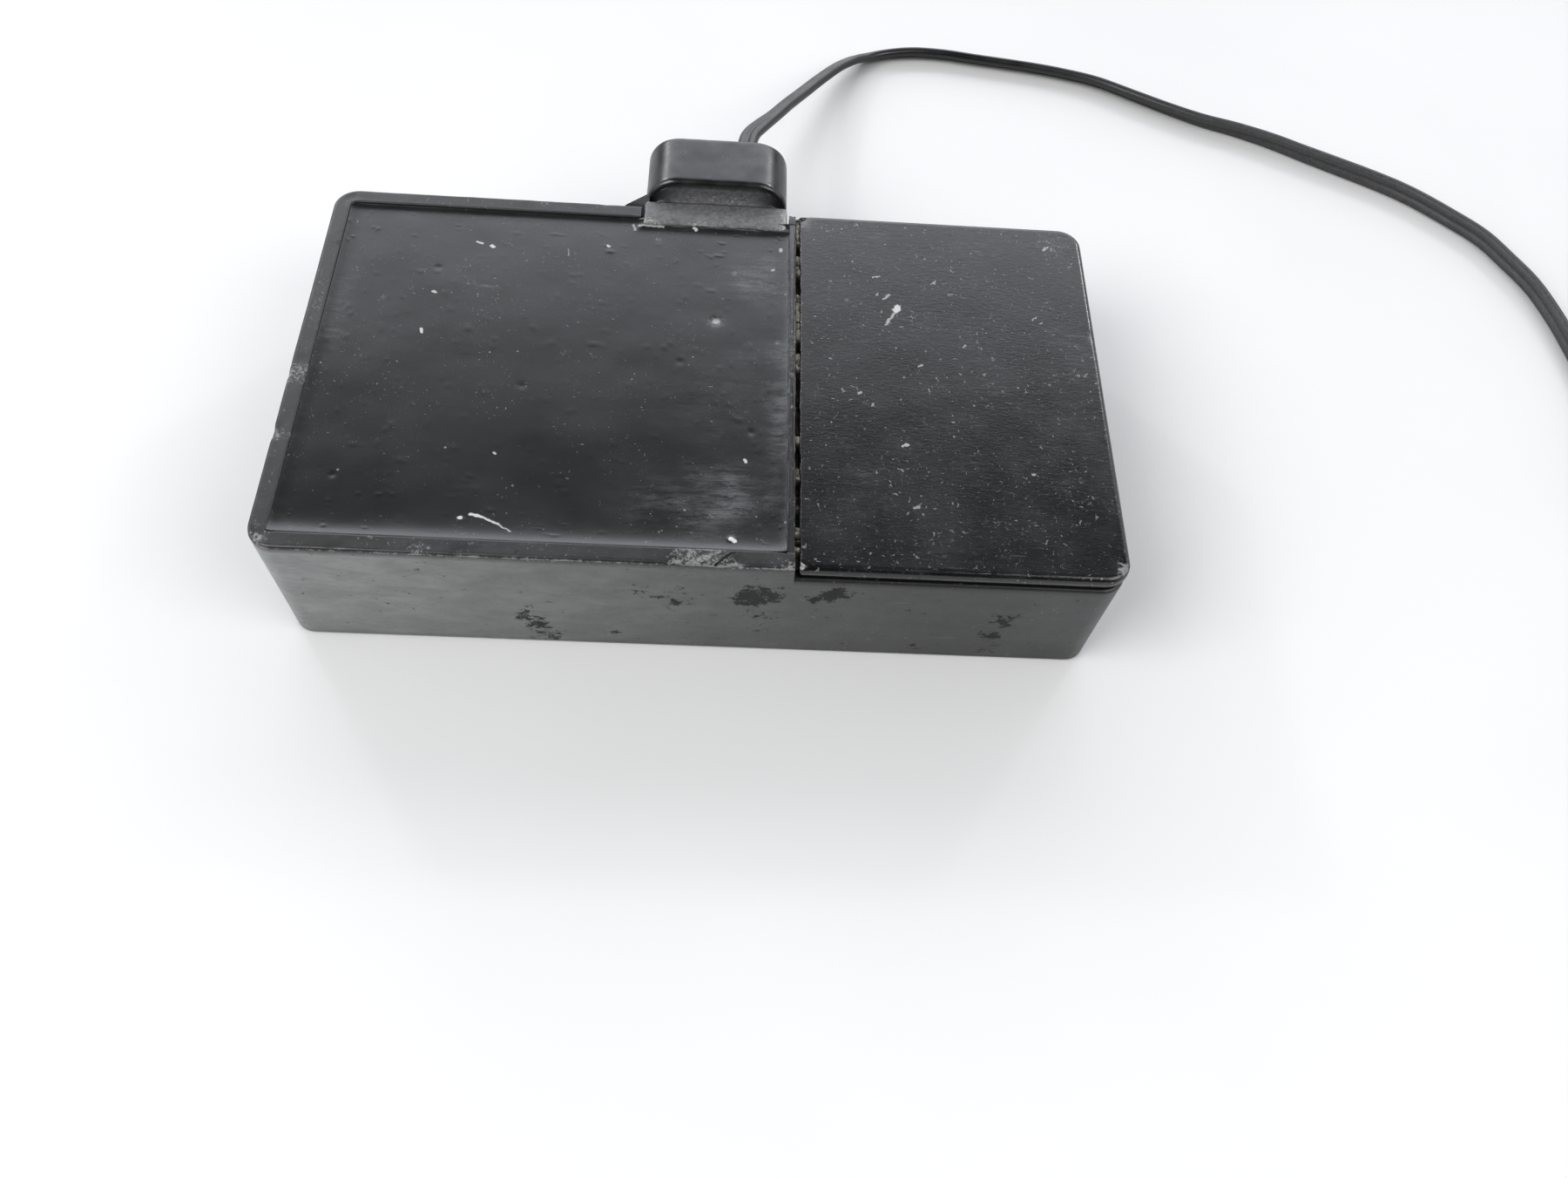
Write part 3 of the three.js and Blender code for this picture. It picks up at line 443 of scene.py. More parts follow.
def moulded_black(name, tone, roughness, grain, grain_size, haze, speck_level, marks=(), cracks=()):
    """Black moulded plastic: grain, mottling, dust crumbs, hairlines, rubbed pale patches, and a pale
    face film whose strength also carries painted light.
    """
    r = Recipe(bpy.data.materials.new(name))
    mottle = r.noise(7.0, 4.0, 0.6)
    fine = r.noise(grain_size, 3.0, 0.65, stretch=(0.6, 1.5, 1.0))
    dark = tuple(channel * 0.7 for channel in tone)
    pale = tuple(channel * 1.4 for channel in tone)
    colour = r.mix(r.ramp(mottle, 0.35, 0.68), dark, pale)
    drag = r.ramp(r.noise(1.1, 5.0, 0.75, stretch=(0.3, 2.2, 1.0), distortion=0.3), 0.46, 0.7)
    film = r.times(r.ramp(r.noise(9.0, 4.0, 0.6, distortion=0.5), 0.47, 0.7), haze)
    colour = r.mix(r.times(film, drag), colour, (0.055, 0.056, 0.06))
    frayed = r.ramp(r.noise(1.2, 7.0, 0.8, stretch=(0.7, 1.0, 1.0)), 0.3, 0.7, -0.6, 0.6)
    blot = r.plus(r.mark("stain"), frayed)
    clean = r.ramp(blot, 0.6, 0.46, 0.05, 1.0)
    grimy = r.ramp(r.noise(3.5, 7.0, 0.75, stretch=(0.6, 1.0, 1.3), distortion=0.3), 0.32, 0.68)
    # The film mark blends the sides towards a pale grey face tone. This is partly a real milky film and
    # partly painted light, because the mark is painted stronger towards the left end, where the light
    # falls.
    face_tone = r.mix(grimy, (0.19, 0.199, 0.195), (0.275, 0.286, 0.283))
    colour = r.mix(r.times(r.mark("film"), clean), colour, face_tone)
    hair = r.ramp(r.noise(1.6, 2.0, 0.5, stretch=(0.2, 3.4, 1.0)), 0.74, 0.76)
    crossing = r.ramp(r.noise(1.9, 2.0, 0.5, stretch=(3.4, 0.25, 1.0)), 0.745, 0.765)
    colour = r.mix(r.times(r.larger(hair, crossing), 0.3), colour, (0.14, 0.14, 0.145))
    crumb = r.larger(crumbs(r, 0.55, 3.2, 0.665, 0.49), crumbs(r, 0.3, 4.0, 0.7, 0.45))
    specks = r.times(r.larger(crumb, dust_specks(r, 1.3, 0.93, 0.13)), speck_level)
    colour = r.mix(specks, colour, (0.24, 0.24, 0.235))
    streak = r.ramp(r.noise(0.55, 4.0, 0.8, stretch=(0.4, 2.4, 1.0)), 0.5, 0.75)
    colour = r.mix(r.times(streak, haze * 0.16), colour, (0.09, 0.091, 0.096))
    flaked = r.ramp(r.noise(0.45, 5.0, 0.8, distortion=0.4), 0.3, 0.7, -0.5, 0.5)
    rubbed = r.ramp(r.plus(r.mark("wear"), flaked), 0.35, 0.75)
    colour = r.mix(rubbed, colour, (0.22, 0.22, 0.218))
    if marks:
        colour = r.mix(r.strokes(r.ragged_place(0.45, 0.75), marks), colour, (0.5, 0.5, 0.5))
    rough = r.ramp(mottle, 0.3, 0.7, roughness - 0.05, roughness + 0.06)
    rough = r.plus(rough, r.times(rubbed, 0.25))
    if cracks:
        height = r.vector("DOT_PRODUCT", r.place, (0.0, 0.0, 1.0))
        on_rim = r.ramp(height, (RIM - 0.3) * MM, (RIM - 0.2) * MM)
        opened = r.times(r.strokes(r.ragged_place(0.6, 0.4), cracks), on_rim)
        colour = r.mix(opened, colour, (0.001, 0.001, 0.001))
        rough = r.plus(rough, opened)
    rough = r.plus(rough, r.ramp(blot, 0.42, 0.62, 0.0, 0.4))
    bumps = r.bump(r.plus(fine, r.times(specks, 0.8)), grain)
    return r.finish(colour, rough, bumps, Specular_IOR_Level=0.9)


def cast_resin(name, marks):
    """Black casting resin: a satin skin with slow ripples, pale smears and a painted sheen along the
    walls, crumbs and fine scratches.
    """
    r = Recipe(bpy.data.materials.new(name))
    slow = r.noise(14.0, 3.0, 0.5)
    fine = r.noise(0.45, 4.0, 0.65)
    colour = r.mix(r.ramp(slow, 0.35, 0.7), (0.0045, 0.0048, 0.0052), (0.0085, 0.0088, 0.0094))
    drag = r.ramp(r.noise(1.8, 8.0, 0.9, stretch=(0.34, 1.8, 1.0), distortion=0.1), 0.4, 0.64)
    # The smear mark holds real pale smears, and also a painted sheen along the meniscus by the walls.
    smear_and_sheen = r.times(r.mark("smear_and_sheen"), drag)
    colour = r.mix(smear_and_sheen, colour, (0.115, 0.118, 0.123))
    hairs = r.ramp(r.noise(0.35, 3.0, 0.7, stretch=(0.08, 2.5, 1.0)), 0.5, 0.8)
    colour = r.mix(r.times(r.times(hairs, r.mark("smear_and_sheen")), 0.3), colour, (0.16, 0.162, 0.17))
    crumb = r.larger(crumbs(r, 0.36, 5.0, 0.68, 0.56), crumbs(r, 0.22, 7.0, 0.71, 0.5))
    specks = r.times(r.larger(crumb, dust_specks(r, 1.5, 0.95, 0.12)), 0.75)
    colour = r.mix(specks, colour, (0.28, 0.275, 0.265))
    colour = r.mix(r.strokes(r.ragged_place(0.5, 0.35), marks), colour, (0.6, 0.6, 0.59))
    scratched = r.times(r.mark("scratch"), r.ramp(r.noise(0.3, 4.0, 0.8), 0.4, 0.6))
    colour = r.mix(scratched, colour, (0.4, 0.4, 0.4))
    rough = r.plus(r.ramp(slow, 0.3, 0.7, 0.2, 0.26), r.times(smear_and_sheen, 0.25))
    bumps = r.bump(r.plus(fine, specks), 0.004, 1.0, r.bump(slow, 0.12, 0.5))
    return r.finish(colour, rough, bumps, Specular_IOR_Level=0.9)


def soft_rubber(name, tone, roughness, dust_and_sheen=0.5, shine=0.5):
    """Moulded rubber: even black with a faint bloom, dust in its corners and fine crumbs. The wear mark
    it is given also holds painted highlights and sheen, painted pale like the dust.
    """
    r = Recipe(bpy.data.materials.new(name))
    bloom = r.noise(3.5, 4.0, 0.6)
    lighter = tuple(channel * 1.9 for channel in tone)
    colour = r.mix(r.ramp(bloom, 0.4, 0.75), tone, lighter)
    colour = r.mix(r.times(crumbs(r, 0.26, 5.0, 0.69, 0.55), 0.5), colour, (0.3, 0.3, 0.29))
    patchy = r.ramp(r.noise(0.5, 5.0, 0.75, distortion=0.3), 0.3, 0.66, 0.45, 1.0)
    # The wear mark paints pale dust. On the grommet's cove and on the lead's right half, it is also a
    # painted highlight and sheen.
    grime_and_sheen = r.times(r.mark("wear"), patchy)
    colour = r.mix(r.times(grime_and_sheen, dust_and_sheen), colour, (0.24, 0.243, 0.25))
    # Whitish crumbs where the mark is strongest: dust on the tab, and painted glints in the grommet's
    # cove and at the tab's front left corner.
    heaped_crumbs_and_glints = r.ramp(r.plus(r.mark("wear"), r.noise(0.3, 4.0, 0.8, distortion=0.6)), 1.42, 1.52)
    colour = r.mix(heaped_crumbs_and_glints, colour, (0.38, 0.375, 0.37))
    rough = r.ramp(bloom, 0.3, 0.7, roughness - 0.05, roughness + 0.08)
    rough = r.plus(rough, r.times(grime_and_sheen, 0.3))
    height = r.plus(r.noise(0.25, 3.0, 0.6), r.plus(grime_and_sheen, r.times(heaped_crumbs_and_glints, 4.0)))
    return r.finish(colour, rough, r.bump(height, 0.006), Specular_IOR_Level=shine)


def plain_part(name, tone, roughness, metal=0.0, grain=0.01, size=0.5, variation=0.25, **fixed):
    """A small part's finish: its colour mottled a little, with fine grain in the surface and gloss."""
    r = Recipe(bpy.data.materials.new(name))
    mottle = r.noise(size * 6, 3.0, 0.6)
    fine = r.noise(size, 3.0, 0.6)
    low = tuple(channel * (1 - variation) for channel in tone)
    high = tuple(min(1.0, channel * (1 + variation)) for channel in tone)
    colour = r.mix(r.ramp(mottle, 0.3, 0.7), low, high)
    dirt = r.times(r.ramp(fine, 0.62, 0.8), 0.25)
    colour = r.mix(dirt, colour, tuple(channel * 0.45 for channel in tone))
    rough = r.ramp(fine, 0.3, 0.7, max(0.05, roughness - 0.08), roughness + 0.08)
    return r.finish(colour, rough, r.bump(fine, grain), Metallic=metal, **fixed)


def laminate(name):
    """Circuit board: green mask over a faint glass weave, a little lighter where copper lies under it."""
    r = Recipe(bpy.data.materials.new(name))
    warp = r.noise(0.35, 1.0, 0.4, stretch=(1.0, 0.12, 1.0))
    weave = r.plus(warp, r.noise(0.35, 1.0, 0.4, stretch=(0.12, 1.0, 1.0)))
    colour = r.mix(r.ramp(weave, 0.8, 1.2), (0.008, 0.085, 0.028), (0.014, 0.125, 0.042))
    flood = r.cells(4.2, "DISTANCE_TO_EDGE", 0.6)
    colour = r.mix(r.ramp(flood.outputs["Distance"], 0.05, 0.09), colour, (0.02, 0.16, 0.05))
    rough = r.ramp(r.noise(2.0), 0.3, 0.7, 0.28, 0.4)
    return r.finish(colour, rough, r.bump(weave, 0.006), Coat_Weight=0.3, Coat_Roughness=0.15)


# Pale nicks and scratches, and the hairline crack: start x, start y, end x, end y, radius, strength.
COVER_MARKS = [
    (21.9, 11.1, 21.7, 10.5, 0.5, 1.0), (21.4, 10.0, 20.4, 8.2, 0.2, 0.6),
    (20.9, 12.9, 20.3, 12.3, 0.24, 0.55), (19.6, 13.0, 19.4, 12.8, 0.18, 0.5),
    (19.9, 15.8, 19.2, 15.6, 0.16, 0.6), (26.6, 15.5, 26.1, 14.9, 0.13, 0.45),
    (17.2, -2.1, 17.0, -2.2, 0.18, 0.6), (22.1, -9.0, 21.7, -9.3, 0.26, 0.7),
    (23.0, -17.2, 22.5, -17.4, 0.24, 0.5), (35.8, -12.3, 35.6, -12.4, 0.17, 0.6),
    (38.9, 9.7, 38.6, 9.6, 0.17, 0.45), (29.6, 5.7, 29.3, 5.3, 0.15, 0.5),
    (24.3, 2.4, 24.0, 2.2, 0.17, 0.6), (40.7, 22.2, 40.1, 21.6, 0.17, 0.6),
    (38.2, 10.6, 37.8, 10.1, 0.15, 0.45), (18.7, -3.6, 18.5, -3.9, 0.15, 0.5),
]
RESIN_MARKS = [
    (-23.3, -20.2, -22.1, -20.5, 0.22, 0.9), (-22.1, -20.5, -20.4, -21.3, 0.15, 0.8),
    (-20.4, -21.3, -19.0, -22.2, 0.1, 0.6), (-24.3, -20.7, -24.4, -20.7, 0.3, 0.9),
    (3.4, -22.0, 3.7, -22.2, 0.36, 1.0), (-27.6, 18.4, -27.0, 18.2, 0.2, 0.7),
    (-25.9, 17.9, -25.6, 17.7, 0.26, 0.8), (-32.0, 4.5, -31.9, 4.0, 0.22, 0.8),
    (-31.6, 10.2, -31.3, 10.1, 0.2, 0.7), (4.6, -11.8, 4.7, -12.0, 0.24, 0.8),
    (-12.4, 19.0, -12.2, 18.8, 0.2, 0.7), (-16.9, 18.0, -16.8, 17.0, 0.1, 0.25),
    (0.8, 7.9, 0.9, 7.9, 0.5, 0.45), (-21.9, -12.3, -21.8, -12.4, 0.18, 0.7),
    (-8.9, 22.5, -6.0, 22.4, 0.2, 0.5), (-2.3, 22.45, -2.0, 22.2, 0.24, 0.8),
    (8.2, 19.8, 8.2, 19.5, 0.26, 0.5), (7.4, 16.4, 7.2, 16.3, 0.22, 0.5),
    (-9.6, 22.6, -9.3, 21.8, 0.2, 0.4),
]
RIM_CRACKS = [(1.9, -25.4, 3.5, -23.9, 0.16, 1.0), (3.4, -24.0, 3.9, -23.8, 0.1, 0.8)]
SHELL = moulded_black("shell_satin_black", (0.004, 0.0042, 0.0047), 0.42, 0.008, 0.35, 0.2, 0.45,
                      cracks=RIM_CRACKS)
COVER = moulded_black("cover_matt_black", (0.0034, 0.0036, 0.0041), 0.22, 0.016, 0.4, 0.75, 0.75,
                      marks=COVER_MARKS)
RESIN = cast_resin("resin_cast_black", RESIN_MARKS)
GROMMET = soft_rubber("grommet_rubber_black", (0.0045, 0.0046, 0.005), 0.29, 0.9, 0.9)
LEAD = soft_rubber("lead_jacket_black", (0.003, 0.0031, 0.0036), 0.34, 0.3, 0.8)
TIE = soft_rubber("tie_nylon_black", (0.009, 0.009, 0.0095), 0.38, 0.1)
PLUG = plain_part("connector_nylon_dark", (0.03, 0.03, 0.032), 0.48, grain=0.012, size=0.3)
SEAL = soft_rubber("seal_silicone_blue", (0.02, 0.06, 0.2), 0.45, 0.1)
BOARD = laminate("board_green_mask")
COPPER = plain_part("copper_wire", (0.62, 0.28, 0.14), 0.32, 1.0, 0.006)
STEEL = plain_part("tinned_steel", (0.56, 0.56, 0.55), 0.3, 1.0, 0.006)
BRASS = plain_part("plated_brass", (0.63, 0.46, 0.2), 0.28, 1.0, 0.005)
SOLDER = plain_part("solder_tin", (0.6, 0.6, 0.6), 0.25, 1.0, 0.01, 0.25)
EPOXY = plain_part("epoxy_chip_black", (0.022, 0.022, 0.023), 0.5, grain=0.015, size=0.2)
SWITCH_RED = plain_part("switch_red", (0.36, 0.022, 0.016), 0.4, grain=0.01, size=0.3)
SLIDER_WHITE = plain_part("slider_white", (0.78, 0.77, 0.72), 0.42, size=0.3, variation=0.08)
BEIGE = plain_part("lacquer_beige", (0.5, 0.38, 0.22), 0.4, size=0.3)
RIBBON = plain_part("ribbon_film", (0.5, 0.38, 0.2), 0.3, size=0.8, Coat_Weight=0.2)
SLEEVE = plain_part("sleeve_blue", (0.02, 0.06, 0.22), 0.3, size=0.4)
CORE_RED = plain_part("core_red", (0.42, 0.02, 0.015), 0.32, size=0.4)
CORE_BLACK = plain_part("core_black", (0.015, 0.015, 0.016), 0.32, size=0.4)
LED_RED = plain_part("led_epoxy_red", (0.5, 0.02, 0.015), 0.12, size=0.4, Transmission_Weight=0.35,
                     IOR=1.5)
DIRT = plain_part("seam_dust", (0.2, 0.185, 0.155), 0.9, grain=0.06, size=0.25, variation=0.6)


# ------------------------------------------------------------------ camera


def make_camera():
    data = bpy.data.cameras.new("camera")
    data.sensor_width = 36.0
    data.lens = 29.0
    data.clip_start = 0.005
    camera = placed("camera", data)
    camera.location = (0.00208, -0.0932, 0.12636)
    camera.rotation_euler = [math.radians(angle) for angle in (31.027, -3.811, 0.370)]
    bpy.context.scene.camera = camera


make_camera()


# ------------------------------------------------------------------ the lead, its coil and its tail

LEAD_WIDTH = 2.6  # two cores side by side
CORE_RADIUS = LEAD_WIDTH / 4
LAY = LEAD_WIDTH / 2 + 0.1  # height of the lead's middle where it stands on edge on the table
COIL_X, COIL_Y = (COIL_LOW[:2] + COIL_HIGH[:2]) / 2
COIL_OUTER = (COIL_HIGH[0] - COIL_LOW[0]) / 2
TURN_PITCH = 1.3  # from one turn to the next, standing on edge
OUTER_TURN = COIL_OUTER - 0.9
EXIT = np.array([3.9, GROMMET_HIGH[1], 12.0])
STRAIGHT_RUN = 8.8  # stretch beside the coil before the lead joins its first turn

ROUTE_DOWN = [
    (3.9, GROMMET_HIGH[1] + FIT, 12.0), (3.8, 40, 11.9), (3.8, 44.5, 11.5), (4.3, 48.2, 10.9),
    (5.7, 51.2, 10.2), (7.5, 54.9, 9), (9.6, 59.7, 7.4), (11.9, 64.4, 5.9), (15.1, 70.7, 4),
    (18.3, 75.8, 2.6),
]
ROUTE_ON_TABLE = [
    (22.9, 80.2), (28.5, 81.8), (34, 81.9), (39.5, 81.2), (47.7, 80.1), (53.2, 79), (58.5, 77.4),
    (63.7, 74.7), (68.8, 72), (73.9, 69.6), (79.1, 67.8), (84.2, 65.6), (89.1, 63), (98.7, 58),
    (103.4, 55), (107.7, 51.3),
    (111.9, 47.1), (114.5, 42.5), (116.8, 37.6), (118.2, 31.6), (118.9, 26), (COIL_X - OUTER_TURN, 19),
    (COIL_X - OUTER_TURN, COIL_Y + STRAIGHT_RUN),
]


def coil_line():
    """Four and a half turns, anticlockwise from the coil's left. The radius and height of each turn are
    held and then eased to the next turn's over its last sixth. The lower row works inwards, the upper row
    outwards, and both lift a little over the tie's strap."""
    radii = OUTER_TURN - TURN_PITCH * np.array([0, 1, 2, 2, 1, 0])
    heights = LAY + np.array([0, 0, 0, LEAD_WIDTH, LEAD_WIDTH, LEAD_WIDTH])
    turn = np.linspace(0, 4.5, int(4.5 * 120) + 1)
    whole = np.minimum(turn.astype(int), 4)
    ease = smoothstep((turn - whole - 0.8) / 0.2)
    ease = np.where(whole == 4, smoothstep((turn - 4.1) / 0.4), ease)
    radius = radii[whole] + (radii[whole + 1] - radii[whole]) * ease
    height = heights[whole] + (heights[whole + 1] - heights[whole]) * ease
    angle = math.pi + 2 * math.pi * turn
    from_tie = (angle - math.pi / 2 + math.pi) % (2 * math.pi) - math.pi
    height = height + 0.32 * bell(from_tie, 0.55)
    return np.column_stack([COIL_X + radius * np.cos(angle), COIL_Y + radius * np.sin(angle), height])


def lead_line():
    """The way across the table, the coil's turns, and the tail that rises to the connector."""
    way_in = evenly(catmull_rom(ROUTE_DOWN + [(x, y, LAY) for x, y in ROUTE_ON_TABLE]), 0.6)
    turns = coil_line()
    last = turns[-1]
    plug_y, plug_z = PLUG_LOW[1], PLUG_LOW[2] + 3.2
    tail = catmull_rom([
        last, last + (0, 3.5, -0.3), last + (0, 7.5, -1.3), (last[0], COIL_Y + 13, LAY + 0.5),
        (last[0], plug_y - 5, LAY + 0.6), (last[0], plug_y - 1.5, plug_z - 0.2),
        (last[0], plug_y - 0.05, plug_z),
    ])
    return evenly(np.vstack([EXIT, way_in, turns, tail[1:]]), 0.7)


def twin_section(points=28):
    """Two round cores joined by a thin web: the radius at each angle is the larger of the cores' circle,
    2 r cos, and the web's half thickness over sin, eased where they meet."""
    angle = np.linspace(0, 2 * math.pi, points, endpoint=False)
    circle = 2 * CORE_RADIUS * np.abs(np.cos(angle))
    web = 0.4 / np.maximum(np.abs(np.sin(angle)), 0.3)
    power = 8
    radius = (circle**power + np.minimum(web, 1.3) ** power) ** (1 / power)
    radius = np.minimum(radius, 1.3)
    return radius * np.cos(angle), radius * np.sin(angle)


def make_lead():
    line = lead_line()
    tangent, up, side = directions(line)
    run = np.concatenate([[0], np.cumsum(np.linalg.norm(np.diff(line, axis=0), axis=1))])
    # It leaves the grommet lying nearly flat, shows its thin edge on the way back, turns its broad side
    # towards the front as it comes round, and stands up in the coil.
    lean = 0.98 + 0.42 * (1 - smoothstep((run - 10) / 14)) - 1.05 * smoothstep((run - 66) / 70)
    lean = lean + 0.12 * np.sin(run / 13.0) * smoothstep(run / 30) * (1 - smoothstep((run - 130) / 30))
    lean = lean * (1 - smoothstep((run - 168) / 22))
    lying = smoothstep((LAY + 0.7 - line[:, 2]) / 0.7) * (1 - smoothstep((run - 168) / 22))
    line[:, 2] -= (LAY - 0.71 - CORE_RADIUS * np.abs(np.cos(lean))) * lying
    broad = np.cos(lean)[:, None] * up + np.sin(lean)[:, None] * side
    thin = -np.sin(lean)[:, None] * up + np.cos(lean)[:, None] * side
    a, b = twin_section()
    rings = line[:, None] + a[None, :, None] * broad[:, None] + b[None, :, None] * thin[:, None]
    rings[:, :, 2] = np.maximum(rings[:, :, 2], 0.02)
    # Paler towards the right end: some dust, and a painted sheen where the lead's broad side turns to the
    # light.
    dust_and_painted_sheen = np.repeat(0.8 * smoothstep((line[:, 0] - 40) / 50), len(a))
    lead = surface("lead_cord", [lofted(rings)], LEAD, "case",
                   ("lead", "lead_coil", "lead_tail"), marks={"wear": dust_and_painted_sheen})
    return lead, line


LEAD_PIECE, LEAD_PATH = make_lead()


def band_shell(centre, half_y, half_z, width, thickness, corner):
    """A strap round a rounded rectangle in the YZ plane: its six-cornered section is carried round the
    loop, standing thickness outwards and width along X."""
    ring = rounded_ring((-half_y, -half_z), (half_y, half_z), [corner] * 4, 10, 8)
    forward = np.roll(ring, -1, axis=0) - np.roll(ring, 1, axis=0)
    forward /= np.linalg.norm(forward, axis=1, keepdims=True)
    outward = np.column_stack([forward[:, 1], -forward[:, 0]])
    half, shoulder = width / 2, thickness * 0.7
    section = [(-half, 0), (half, 0), (half, shoulder), (half - 0.25, thickness),
               (-half + 0.25, thickness), (-half, shoulder)]
    loops = []
    for across, out in section:
        flat = ring + outward * out
        loops.append(np.column_stack([np.full(len(ring), centre[0] + across), centre[1] + flat[:, 0],
                                      centre[2] + flat[:, 1]]))
    rings = np.array(loops)
    count, around = rings.shape[:2]
    closed = np.concatenate([rings, rings[:1]])
    quads = grid_quads(count + 1, around) % (count * around)
    return closed[:-1].reshape(-1, 3), [quads]


def make_tie():
    """A cable tie: a thin strap round the coil's turns, its head outside them and a short cut tail."""
    low, high = TIE_LOW, TIE_HIGH
    coil_mid = (COIL_LOW[2] + COIL_HIGH[2]) / 2 + 0.42
    inner_low, inner_high = low[1] + 0.8, high[1] - 3.0
    centre = (COIL_X, (inner_low + inner_high) / 2, coil_mid)
    strap = band_shell(centre, (inner_high - inner_low) / 2, coil_mid - 0.4, 2.5, 0.34, 0.9)
    head = slab_shell((COIL_X - 2.0, inner_high + 0.05, 0.9), (COIL_X + 2.0, high[1] - 0.1, 4.2),
                      [0.35] * 4, 0.3)
    tongue = slab_shell((COIL_X - 1.1, high[1] - 1.7, 4.0), (COIL_X + 1.1, high[1] - 1.3, 5.6),
                        [0.1] * 4, 0.1)
    return surface("coil_tie_strap", [strap, head, tongue], TIE, "case", ("coil_tie",))


TIE_PIECE = make_tie()


# ------------------------------------------------------------------ the rubber grommet


def grommet_stations():
    """Places along Y, each with the arch's inset, top and corner radius: the flush tab, a fine groove, a
    cove that rises a quarter circle, and the block with rounded ends."""
    high = GROMMET_HIGH
    cove = BLOCK_FRONT - TAB_BACK - 0.25
    fillet, end_round = 0.7, 0.6
    stations = [
        (TAB_FRONT, 0.35, RIM - 0.35, 0.3), (TAB_FRONT + 0.1, 0.1, RIM - 0.1, 0.3),
        (TAB_FRONT + 0.3, 0, RIM, 0.3), (24.0, 0, RIM, 0.35), (TAB_BACK - 0.6, 0, RIM, 0.4),
        (TAB_BACK - 0.3, 0, RIM - 0.02, 0.5), (TAB_BACK - 0.15, 0.1, RIM - 0.2, 0.8),
        (TAB_BACK, 0.3, RIM - 0.42, 1.4),
        (TAB_BACK + 0.12, 0.45, RIM - 0.3, 2.0),
    ]
    for turn in np.radians(np.linspace(8, 84, 9)):
        rise = 1 - math.cos(turn)
        stations.append((TAB_BACK + 0.14 + cove * math.sin(turn), 0.55 * (1 - rise) + 0.15,
                         RIM - 0.25 + 1.9 * rise, 2.4 + 1.0 * rise))
    for side, up in quarter(8):
        inset = fillet * side
        stations.append((BLOCK_FRONT - 0.02 + fillet * up, inset, high[2] - inset, 4.0))
    for y in np.linspace(BLOCK_FRONT + fillet + 0.3, high[1] - 0.9, 12):
        stations.append((y, 0, high[2], 4.0))
    for side, up in quarter(6):
        inset = end_round * up
        stations.append((high[1] - end_round * side, inset, high[2] - inset, 4.0))
    return stations


def make_grommet():
    """The stations' arched sections in order, with a wedge-shaped shoulder on the left of the neck and a
    turned collar where the lead leaves. Dust lies on the tab. The pale band in the cove is dust and a
    painted highlight, and the whitish crumbs at the tab's front left corner are a painted glint."""
    low, high = GROMMET_LOW, GROMMET_HIGH
    rings, wear = [], []
    middle = (low[0] + high[0]) / 2
    for y, inset, top, radius in grommet_stations():
        arch = max(radius - inset, 0.2)
        ring = rounded_ring((low[0] + inset, low[2] + inset), (high[0] - inset, top),
                            (0.8, arch, arch, 0.8), 30, 14)
        across = ring[:, 0]
        rings.append(at_depth(across, y, ring[:, 1]))
        # corner and front: the tab is paler at its front left corner, which is a painted glint on the
        # edge's step.
        corner = bell(across - low[0], 1.6) + 0.5 * bell(across + 1.6, 1.0)
        front = bell(y - TAB_FRONT, 0.7)
        on_tab = (0.78 + 0.08 * front + 0.3 * corner * front) * (y < TAB_BACK - 0.2)
        # The cove's pale band is partly dust and partly a painted highlight in the concave cove.
        in_cove = bell(y - TAB_BACK - 0.38, 0.24, 4) * (y > TAB_BACK)
        cove_dust_and_highlight = 0.9 * in_cove * bell(across - middle, 6.2, 6)
        sides = bell(high[0] - across, 0.9) * 0.25 * (y < TAB_BACK)
        wear.append(np.clip(on_tab + cove_dust_and_highlight + sides, 0, 1))
    rings = np.array(rings)
    flat = rings.reshape(-1, 3)
    flat += 0.035 * ragged(flat, 2.2, 5)[:, None] * np.array([0.3, 0.3, 1.0])
    torn = np.abs(flat[:, 1] - TAB_FRONT) < 0.45
    flat[torn, 1] += 0.16 * ragged(flat[torn], 0.8, 9)
    shell = lofted(flat.reshape(rings.shape))
    root = low[0] + 0.5
    outline = np.array([(root, 18.0), (-10.8, 16.0), (-11.3, 15.5), (-11.4, 15), (-11.4, 8.5),
                        (root, 8.5)])
    wedge = []
    for y, reach, drop in ((26.0, 0.2, 0.3), (26.2, 0.3, 0), (28.0, 1, 0), (28.2, 0.98, 0.3)):
        wedge.append(at_depth(root + (outline[:, 0] - root) * reach, y, outline[:, 1] - drop))
    angle = np.linspace(0, 2 * math.pi, 24, endpoint=False)
    collar = []
    for out, radius in ((-0.4, 2.1), (0.2, 2.1), (0.9, 1.85), (1.6, 1.62), (1.8, 1.5)):
        collar.append(at_depth(EXIT[0] + radius * 0.8 * np.cos(angle), high[1] + out,
                               EXIT[2] + radius * np.sin(angle)))
    parts = [shell, lofted(np.array(wedge)), lofted(np.array(collar))]
    return surface("grommet_moulding", parts, GROMMET, "case", ("cable_grommet",),
                   marks={"wear": np.concatenate(wear)})


GROMMET_PIECE = make_grommet()


# ------------------------------------------------------------------ the moulded box


